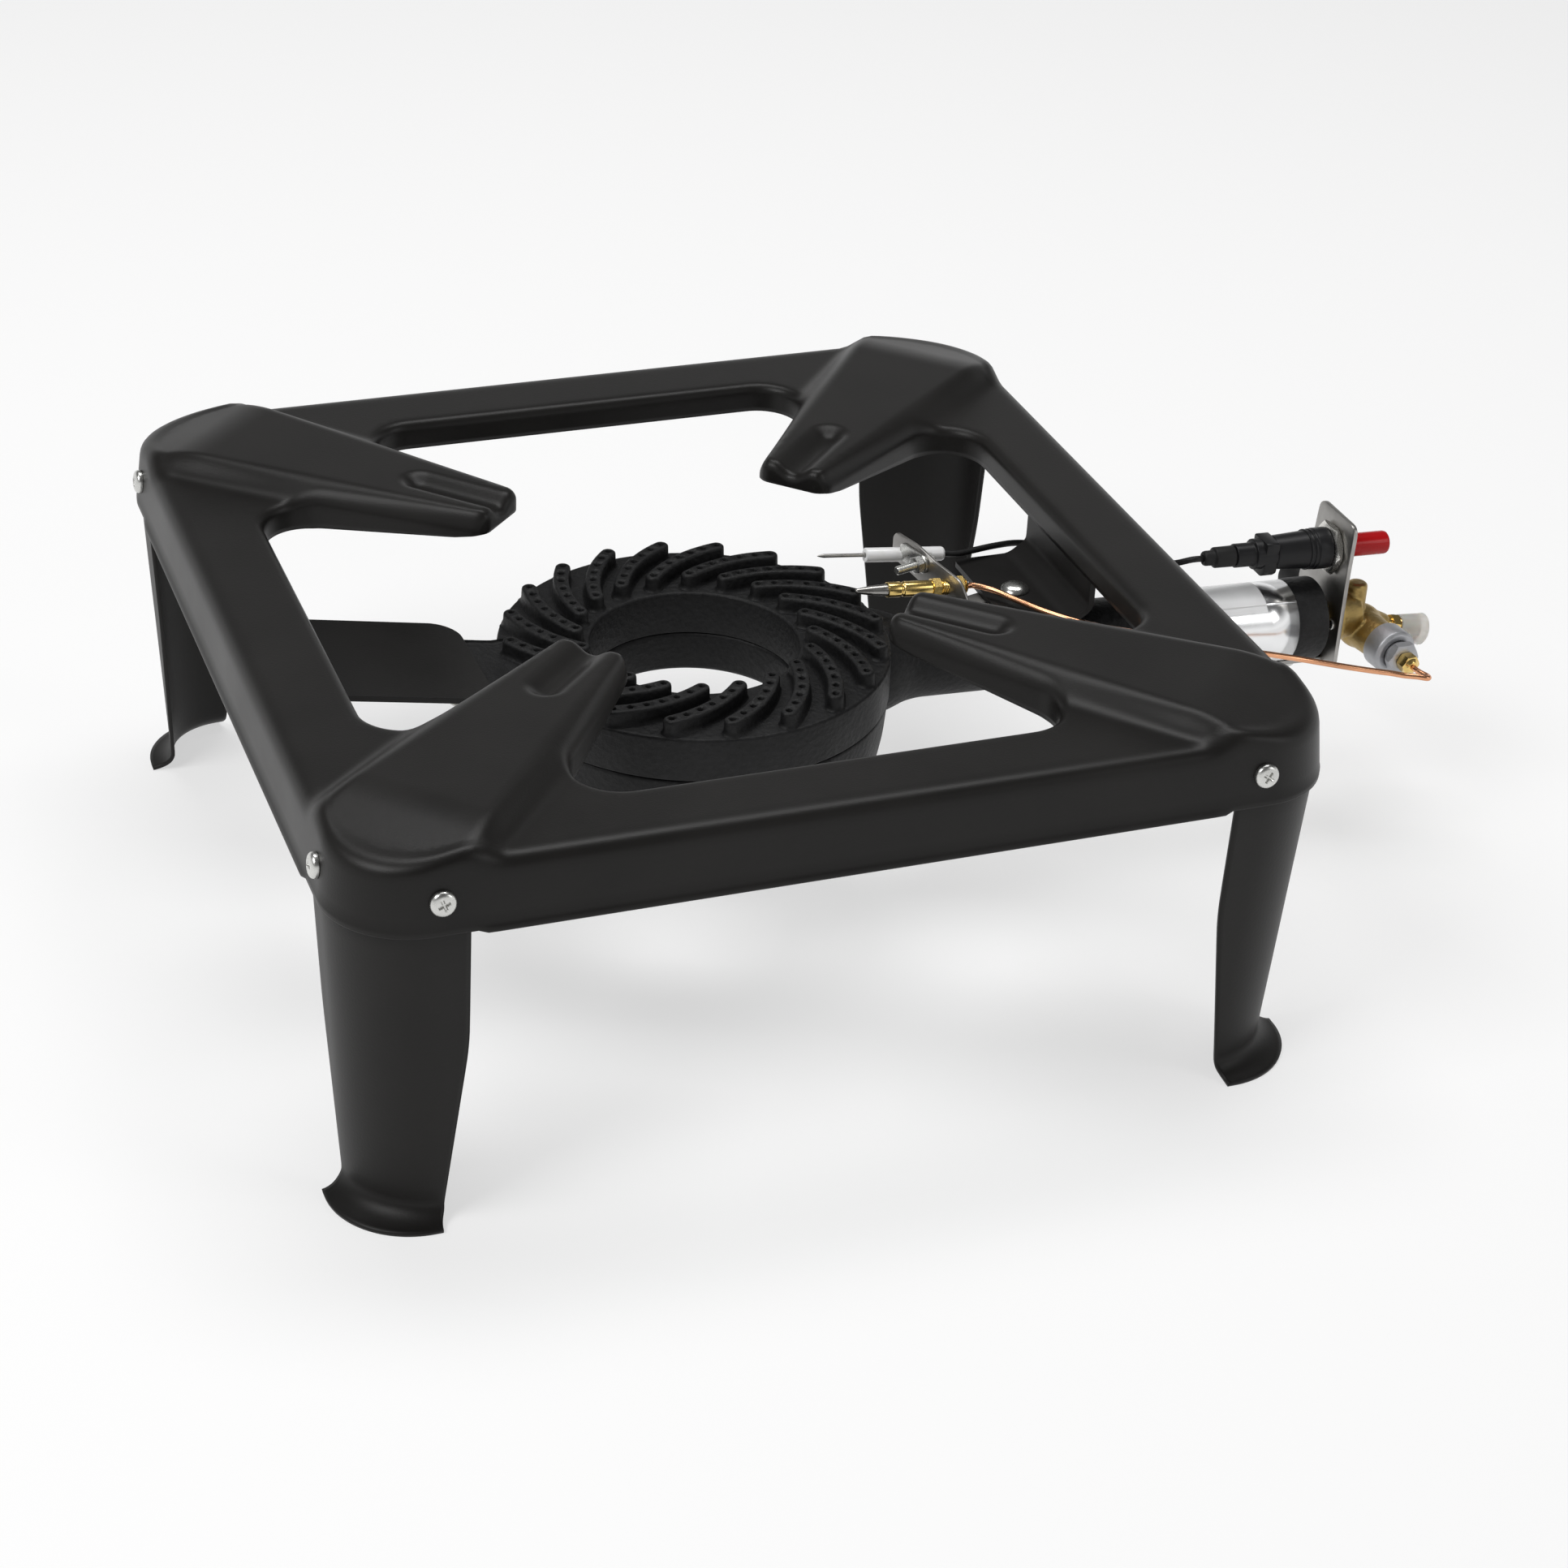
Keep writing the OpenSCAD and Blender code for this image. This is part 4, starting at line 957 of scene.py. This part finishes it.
brass_forged = metal_with_skin("brass_forged", (0.36, 0.255, 0.095), 0.42, 420, 0.0006)
brass_bright = plated("brass_bright", (0.78, 0.56, 0.2), 0.2)
nickel = plated("nickel_plate", (0.78, 0.77, 0.73), 0.26)
magnet_alloy = metal_with_skin("magnet_alloy", (0.42, 0.425, 0.44), 0.5, 700, 0.0001)
core = joined(
    moved(rod(12.4, BRACKET_T + 0.1, BRACKET_T + 3.4, 0.8), at_u(BRACKET_U)),
    moved(cone(12.2, 8.6, BRACKET_T + 3, BRACKET_T + 14.5, 1), at_u(BRACKET_U)),
    moved(ball(10.4), valve_axis),
    moved(cone(5.2, 4.6, 0, 22.6, 2), in_valve @ shift(-5, 0, 0)),
    moved(rod(7.6, -34, 0, 1), valve_axis),
    moved(cone(9.6, 8.6, 0, 17.8, 0.8), valve_axis),
    moved(cone(7.6, 4.6, 0, 14, 0.8), inlet_axis))
forging = make("valve_body_forging", *core, brass_forged, "brass", replaces=["valve_body"],
               sharp=40)
fuse = forging.modifiers.new("forged", "REMESH")
fuse.mode = "VOXEL"
fuse.voxel_size = 0.6 * MM
fuse.use_smooth_shade = True
ease_mod = forging.modifiers.new("blend", "SMOOTH")
ease_mod.factor, ease_mod.iterations = 0.5, 5
turned_ends = joined(
    moved(rod(5.6, -4.4, 1, 0.4), at_u(BRACKET_U)),
    moved(rod(3.6, 13, 17.2, 0.2), inlet_axis),
    moved(hex_rod(9.0, 16, 20), inlet_axis),
    moved(thread(3.9, 19.9, 28.9, 0.9), inlet_axis))
make("valve_body_ends", *turned_ends, brass_bright, "brass", sharp=30)
jet = joined(moved(hex_rod(8, -10, -4.5), at_u(BRACKET_U)),
             moved(cone(1.6, 2.9, -16, -9.9, 0.3), at_u(BRACKET_U)))
make("gas_jet_detail", *jet, brass_bright, "brass", replaces=["gas_jet"], sharp=30)
housing = turned([(0, 18.2), (10.5, 18.2), (10.5, 27.6), (9.3, 29), (6.7, 29), (6.7, 26.6),
                  (0, 26.6)], 64, 0.5)
make("magnet_housing_can", *moved(housing, valve_axis), magnet_alloy, "nickel",
     replaces=["magnet_housing"])
plug = joined(turned([(3.5, 26.7), (6.3, 26.7), (6.3, 30.7), (3.5, 30.7)][::-1], 48, 0.3),
              moved(hex_nut(14.1, 3.45, 4.4), shift(0, 0, 30.6)))
make("magnet_plug_detail", *moved(plug, valve_axis), magnet_alloy, "nickel",
     replaces=["magnet_plug"])
flare = joined(thread(3.2, 31.2, 35.4, 0.8), hex_rod(8.0, 35.2, 40.4),
               cone(3.8, 2.2, 40.2, 41.9, 0.4))
make("probe_nut_detail", *moved(flare, valve_axis), brass_bright, "brass", replaces=["probe_nut"])
rivet = turned([(0, -0.1), (1.5, -0.1), (2.55, -0.1), (2.5, -0.9), (1.4, -1.65),
                (0, -1.7)], 32, 0.3)
rivets = [moved(rivet, at_u(BRACKET_U, 0, 3 + s * 11.5)) for s in (-1, 1)]
make("valve_rivets_heads", *joined(*rivets), zinc, "zinc_steel", replaces=["valve_rivets"])


# The transport cap: a flared push-on cap of translucent plastic over the gas
# inlet's thread, pulled off before the hose is fitted.
cap_shell = turned([(4.1, 20.6), (5.1, 20.6), (7.0, 32.2), (7.4, 33.5), (6.7, 33.5),
                    (5.2, 30.4), (0, 30.2), (0, 29.3), (4.1, 29.3)], 64, 0.4)
milky, skin, place = new_finish("milky_cap")
haze = grain_of(milky, place, 160, 3)
wire_up(milky, skin, {
    "Roughness": 0.35, "Transmission Weight": 0.55, "IOR": 1.35, "Subsurface Weight": 0.2,
    "Base Color": tone_of(milky, haze, 0, 1, (0.74, 0.70, 0.64), (0.86, 0.83, 0.79))})
make("inlet_cap_shell", *moved(cap_shell, inlet_axis), milky, "milky_plastic", body="cap",
     replaces=["inlet_cap"])


# The valve's push button and its spring: a black plastic knob on a stem, with a
# spring of steel wire, held in to let gas through until the probe is warm.
def moulded(name, colour, rough, grain=900):
    """Moulded plastic: even colour with a faint spark-eroded texture."""
    return coated_steel(name, colour, grain, rough, depth=0.00008)


knob_black = moulded("knob_black", (0.012, 0.012, 0.012), 0.4)
knob = turned([(0, -56), (7.0, -56), (8.2, -54.6), (8.4, -42.1), (5.1, -42.1), (5.1, -28.2),
               (0, -28.2)], 64, 0.8)
make("valve_button_knob", *moved(knob, valve_axis), knob_black, "black_plastic",
     body="gas_button", replaces=["valve_button"])


def wire_line(points, radius, sides=12):
    """A round wire or tube through the points, with closed ends."""
    pts = [Vector(p) for p in points]
    out = []
    normal = (pts[1] - pts[0]).normalized().orthogonal()
    for i, p in enumerate(pts):
        ahead = (pts[min(i + 1, len(pts) - 1)] - pts[max(i - 1, 0)]).normalized()
        normal = (normal - ahead * normal.dot(ahead)).normalized()
        other = ahead.cross(normal)
        for k in range(sides):
            a = 2 * math.pi * k / sides
            out.append(tuple(p + radius * (normal * math.cos(a) + other * math.sin(a))))
    return out, row_faces(range(0, len(out), sides), sides) + end_faces(len(out), sides)


def spring(name, axis, foot, radius, height, turns):
    """A coiled wire spring with flat ends."""
    line, count = [], turns * 36
    for i in range(count + 1):
        a = 2 * math.pi * turns * i / count
        rise = min(max((i / count * turns - 0.9) / (turns - 1.8), 0), 1)
        line.append((radius * math.cos(a), radius * math.sin(a), 0.5 + (height - 1.0) * rise))
    wire = moved(wire_line(line, 0.5, 8), axis @ shift(0, 0, foot))
    ob = make(name + "_wire", *wire, spring_wire, "spring_steel", replaces=[name])
    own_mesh(ob)


spring_wire = plated("spring_wire", (0.42, 0.41, 0.39), 0.3)
spring("valve_spring", valve_axis, -27.6, 3.6, 14.6, 6)


# The spark unit: a barrel of black moulded plastic, clamped through the bracket
# by one large hex nut, with a red button at the outside and its lead at the inside.
piezo_at = at_u(BRACKET_U, PIEZO_W, PIEZO_V)
barrel_black = moulded("barrel_black", (0.011, 0.011, 0.012), 0.36)
barrel = turned([
    (0, -49), (5.3, -49), (5.3, -40.2), (6.8, -40), (6.8, -30.2), (7.5, -30), (8.7, -10.6),
    (9.25, -10.4), (9.25, -3.8), (7, -3.8), (7, 4.1), (5.6, 4.1),
    (5.6, -22), (0, -22)], 64, 0.45)
block = slab(round_corners([(-7.2, -6.5), (7.0, -6.5), (9.5, -3.5), (9.5, 3.5), (7.0, 6.5),
                            (-7.2, 6.5)], [1.6, 1.6, 0.8, 0.8, 1.6, 1.6]), -36.4, -30, 0.5)
bands = [turned([(7.6, z), (9.05, z), (9.05, z + 0.9), (7.6, z + 0.9)][::-1], 48, 0.2)
         for z in (-14.6, -12.4)]
make("piezo_body_barrel", *moved(joined(barrel, block, *bands), piezo_at), barrel_black,
     "black_plastic", replaces=["piezo_body"])
make("piezo_nut_detail",
     *moved(hex_nut(21, 7.05, 3.3), piezo_at @ shift(0, 0, -3.5) @ turn("Z", 30)),
     nickel, "nickel", replaces=["piezo_nut"])
button_red = moulded("button_red", (0.42, 0.006, 0.008), 0.2, 500)
button = turned([(0, -7), (5.25, -7), (5.25, 25.4), (4.9, 26.6), (0, 26.8)], 64, 0.8)
make("piezo_button_cap", *moved(button, piezo_at), button_red, "red_plastic",
     body="spark_button", replaces=["piezo_button"])
spring("piezo_spring", piezo_at, -23.3, 3.9, 15.6, 7)
boot_rubber = moulded("boot_rubber", (0.013, 0.013, 0.013), 0.55)
boot = turned([(1.5, -64), (2.9, -64), (3.35, -63), (3.4, -59.2), (4.6, -58.8), (4.7, -49.3),
               (1.5, -49.3)][::-1], 48, 0.5)
make("lead_boot_sleeve", *moved(boot, piezo_at), boot_rubber, "black_rubber",
     replaces=["lead_boot"])


# The igniter bracket: a small steel plate standing on the right strap under the
# coach screw, turned towards the ring. It carries the spark plug and the probe.
PLATE_TURN, SPARK_TILT, PROBE_TILT = 16.0, 6.3, 4.9
at_plate = shift(COACH_X - 32.6, 0, 0) @ turn("Z", PLATE_TURN)
spark_axis = shift(COACH_X - 21.3, 30, 132.4) @ turn("Y", SPARK_TILT) @ turn("Y", 90)
probe_axis = shift(COACH_X - 23.1, 0, 131.9) @ turn("Y", PROBE_TILT) @ turn("Y", 90)
clamp_axis = at_plate @ shift(0, 16, 137) @ turn("Y", 90)
foot_z = LEDGE_Z - 1.3
stand_line = round_corners(
    [(-17, foot_z), (1, foot_z), (20, 128.3), (37, 131), (37, 141), (35, 143.5), (20, 143.5),
     (8, 141), (-9, 139.5), (-17, 130)], [0.5, 1, 3, 2, 1.5, 1.5, 3, 3, 3, 3])
stand = moved(slab(stand_line, 0, 1.3, 0.2), at_plate @ turn("Z", 90) @ turn("X", 90))
foot_line = round_corners([(0.2, -17), (40, -17), (40, 1), (0.2, 1)], [0.5, 4, 4, 0.5])
foot = moved(slab(foot_line, foot_z, foot_z + 1.2, 0.2), at_plate)
make("igniter_bracket_plate", *joined(stand, foot), sheet_steel, "bracket_steel",
     replaces=["igniter_bracket"], sharp=30)
bolt = joined(hex_rod(6.9, 1.4, 4.4), thread(1.95, -14.2, 1.5, 0.7))
make("igniter_bolt_detail", *moved(bolt, clamp_axis), zinc, "zinc_steel",
     replaces=["igniter_bolt"])
make("igniter_nut_detail", *moved(hex_nut(7, 1.97, 3.2), clamp_axis @ shift(0, 0, -4.7)), zinc,
     "zinc_steel", replaces=["igniter_nut"])


# The igniter clamp: a small flat strap of zinc-plated steel on that bolt, its
# far end pressing against the ceramic.
pad = round_corners([(-4.2, -4.2), (4.2, -4.2), (3.9, 12.6), (2.4, 14.4), (-4.4, 14.4),
                     (-4.4, 9)], [4, 4, 2, 1.5, 3, 2])
make("igniter_clamp_strap", *moved(slab(pad, -1.35, -0.15, 0.2), clamp_axis), zinc, "zinc_steel",
     replaces=["igniter_clamp"])


# The spark plug: a white glazed ceramic tube with a steel needle, held to the
# bracket by the zinc strap.
ceramic, skin, place = new_finish("white_ceramic")
speck = grain_of(ceramic, place, 260, 5)
wire_up(ceramic, skin, {
    "Coat Weight": 0.5, "Coat Roughness": 0.12, "Roughness": spread(ceramic, speck, 0.25, 0.42),
    "Base Color": tone_of(ceramic, speck, 0.25, 0.5, (0.82, 0.82, 0.8), (0.88, 0.88, 0.88))})
tube_white = turned([(0.95, -36.8), (3.15, -36.8), (3.15, -0.9), (2.5, 0), (0.95, 0)][::-1],
                    48, 0.5)
make("spark_insulator_tube", *moved(tube_white, spark_axis), ceramic, "white_ceramic",
     replaces=["spark_insulator"])
needle_steel = plated("needle_steel", (0.4, 0.39, 0.37), 0.28)
needle = turned([(0, -59), (0.35, -58.4), (0.85, -56), (0.85, -1), (0, -1)], 24, 0.2)
make("spark_needle_rod", *moved(needle, spark_axis), needle_steel, "spring_steel",
     replaces=["spark_needle"])


# The probe: a pointed steel sensing tip in a turned brass body, locked through
# the bracket by a thin brass nut.
tip = turned([(0, -51), (1.0, -50.6), (2.05, -44), (2.55, -37.4), (2.6, -28.6), (0, -28.6)],
             40, 0.5)
make("probe_tip_cone", *moved(tip, probe_axis), needle_steel, "spring_steel",
     replaces=["probe_tip"])
body = joined(
    turned([(2.7, -36.5), (3.3, -36.5), (3.3, -30.6), (2.9, -30.2), (2.9, -29.4), (3.3, -29),
            (3.3, -16), (1.5, -16), (1.5, -28), (2.7, -28)][::-1], 48, 0.3),
    hex_rod(7.7, -16.2, -12.4), thread(3.4, -12.6, -0.1, 1.0, 40))
make("probe_body_turned", *moved(body, probe_axis), brass_bright, "brass",
     replaces=["probe_body"])
make("probe_locknut_detail", *moved(hex_nut(8.6, 3.45, 3.6), probe_axis @ shift(0, 0, -5.6)),
     brass_bright, "brass", replaces=["probe_locknut"])


# The two lines that run along the tube: the black spark lead from the plug to
# the spark unit, and the copper line from the probe to the magnet valve.
def at_depth(axis, d):
    return tuple(axis @ Vector((0, 0, d)))


def smooth_run(points, k):
    """A smooth line through the points, k steps between each two."""
    out = []
    n = len(points)
    for i in range(n - 1):
        a, b = points[max(i - 1, 0)], points[i]
        c, d = points[i + 1], points[min(i + 2, n - 1)]
        for j in range(k):
            t = j / k
            out.append(tuple(0.5 * (2 * b[m] + (c[m] - a[m]) * t
                                    + (2 * a[m] - 5 * b[m] + 4 * c[m] - d[m]) * t * t
                                    + (3 * b[m] - a[m] - 3 * c[m] + d[m]) * t ** 3)
                             for m in range(3)))
    return out + [points[-1]]


lead_route = [(150, 34.5, 130.5), (164, 38.5, 128), (182, 38, 124), (197, 33, 121),
              (211, 22, 121.5), (222, 10, 124)]
tube_route = [(132, -5, 131), (138, -14, 130.5), (148, -29, 130), (162, -41, 128.5),
              (187, -43, 121.5), (223, -41, 109.5), (261, -38, 97), (286, -42, 91),
              (300, -44.5, 88), (308, -46, 86.5), (314, -48, 85.5), (319, -50.5, 85.5),
              (323, -52, 85), (324.5, -50, 84.5)]
lead_line = smooth_run([at_depth(spark_axis, 0.4), at_depth(spark_axis, 8), *lead_route,
                        *[tuple(in_tube @ Vector((BRACKET_U - u, PIEZO_V, PIEZO_W)))
                          for u in (69, 64, 56.5)]], 10)
lead_black = moulded("lead_black", (0.012, 0.012, 0.012), 0.42)
lead = make("spark_lead_cable", *wire_line(lead_line, 1.4, 16), lead_black, "black_rubber",
            replaces=["spark_lead"])
copper = plated("copper_drawn", (0.72, 0.36, 0.2), 0.24, brushed=(4, 1, 4), wear=0.18)
copper_line = smooth_run([*[at_depth(probe_axis, d) for d in (-5.5, 0, 4)], *tube_route,
                          *[at_depth(valve_axis, d) for d in (46, 41, 34)]], 8)
make("probe_tube_line", *wire_line(copper_line, 1.3, 16), copper, "copper",
     replaces=["probe_tube"])


# The floor, the light and the camera, as in a plain product photograph: a white
# floor, a white backdrop low down all round and soft lamps above.
floor_mesh = bpy.data.meshes.new("floor")
floor_mesh.from_pydata([(-9, -9, 0), (9, -9, 0), (9, 9, 0), (-9, 9, 0)], [], [(0, 1, 2, 3)])
floor = bpy.data.objects.new("floor", floor_mesh)
bpy.context.scene.collection.objects.link(floor)
floor_white, paint = new_finish("floor_white")[:2]
wire_up(floor_white, paint, {"Base Color": (0.86, 0.86, 0.86, 1), "Roughness": 0.9,
                             "Specular IOR Level": 0.1})
matt = add_node(floor_white, "BsdfDiffuse", {"Color": (0.42, 0.42, 0.42, 1)}).outputs[0]
glow = add_node(floor_white, "Emission", {"Strength": 0.58}).outputs[0]
shown = add_node(floor_white, "AddShader", {0: matt, 1: glow}).outputs[0]
rays = add_node(floor_white, "LightPath", {}).outputs
seen = rays["Is Camera Ray"]
for kind in ("Is Glossy Ray", "Is Transmission Ray"):
    either = add_node(floor_white, "Math", {0: seen, 1: rays[kind]})
    either.operation = "MAXIMUM"
    seen = either.outputs[0]
pick = add_node(floor_white, "MixShader", {0: seen, 1: paint.outputs[0], 2: shown})
wire_up(floor_white, floor_white.node_tree.nodes["Material Output"], {"Surface": pick.outputs[0]})
floor_mesh.materials.append(floor_white)

world = bpy.data.worlds.new("studio")
bpy.context.scene.world = world
world.use_nodes = True
sky = add_node(world, "TexCoord", {}).outputs["Generated"]
height = add_node(world, "SeparateXYZ", {"Vector": sky}).outputs["Z"]
level = add_node(world, "MapRange", {"Value": height, "From Min": 0.12, "From Max": 0.42,
                                     "To Min": 1.0, "To Max": 0.12})
wire_up(world, world.node_tree.nodes["Background"],
        {"Strength": level.outputs["Result"], "Color": (1, 1, 1, 1)})


def lamp(name, place, size, power):
    """A soft rectangular lamp that looks at the cooker."""
    data = bpy.data.lights.new(name, "AREA")
    data.shape = "RECTANGLE"
    data.size, data.size_y = size
    data.energy = power
    ob = bpy.data.objects.new(name, data)
    bpy.context.scene.collection.objects.link(ob)
    ob.location = place
    ob.rotation_mode = "QUATERNION"
    ob.rotation_quaternion = (Vector((0, 0, 0.1)) - Vector(place)).to_track_quat("-Z", "Y")


lamp("above", (0.25, 0.55, 2.2), (1.8, 0.7), 24)
lamp("key", (-1.5, -0.5, 1.9), (1.2, 0.9), 26)
lamp("fill", (1.8, -1.6, 1.4), (1.0, 1.0), 8)

cam = bpy.data.cameras.new("camera")
cam.lens, cam.sensor_width = 78.78, 36.0
camera = bpy.data.objects.new("camera", cam)
bpy.context.scene.collection.objects.link(camera)
back = Vector((-0.31639, -0.79963, 0.51038))
side = Vector((0.92986, -0.36792, 0.0))
up = back.cross(side)
roll = math.radians(2.958)
right_axis = math.cos(roll) * side + math.sin(roll) * up
up_axis = -math.sin(roll) * side + math.cos(roll) * up
camera.matrix_world = Matrix((
    (right_axis.x, up_axis.x, back.x, -0.4244),
    (right_axis.y, up_axis.y, back.y, -1.1817),
    (right_axis.z, up_axis.z, back.z, 0.8008),
    (0, 0, 0, 1)))
bpy.context.scene.camera = camera
bpy.context.scene.view_settings.view_transform = "Standard"
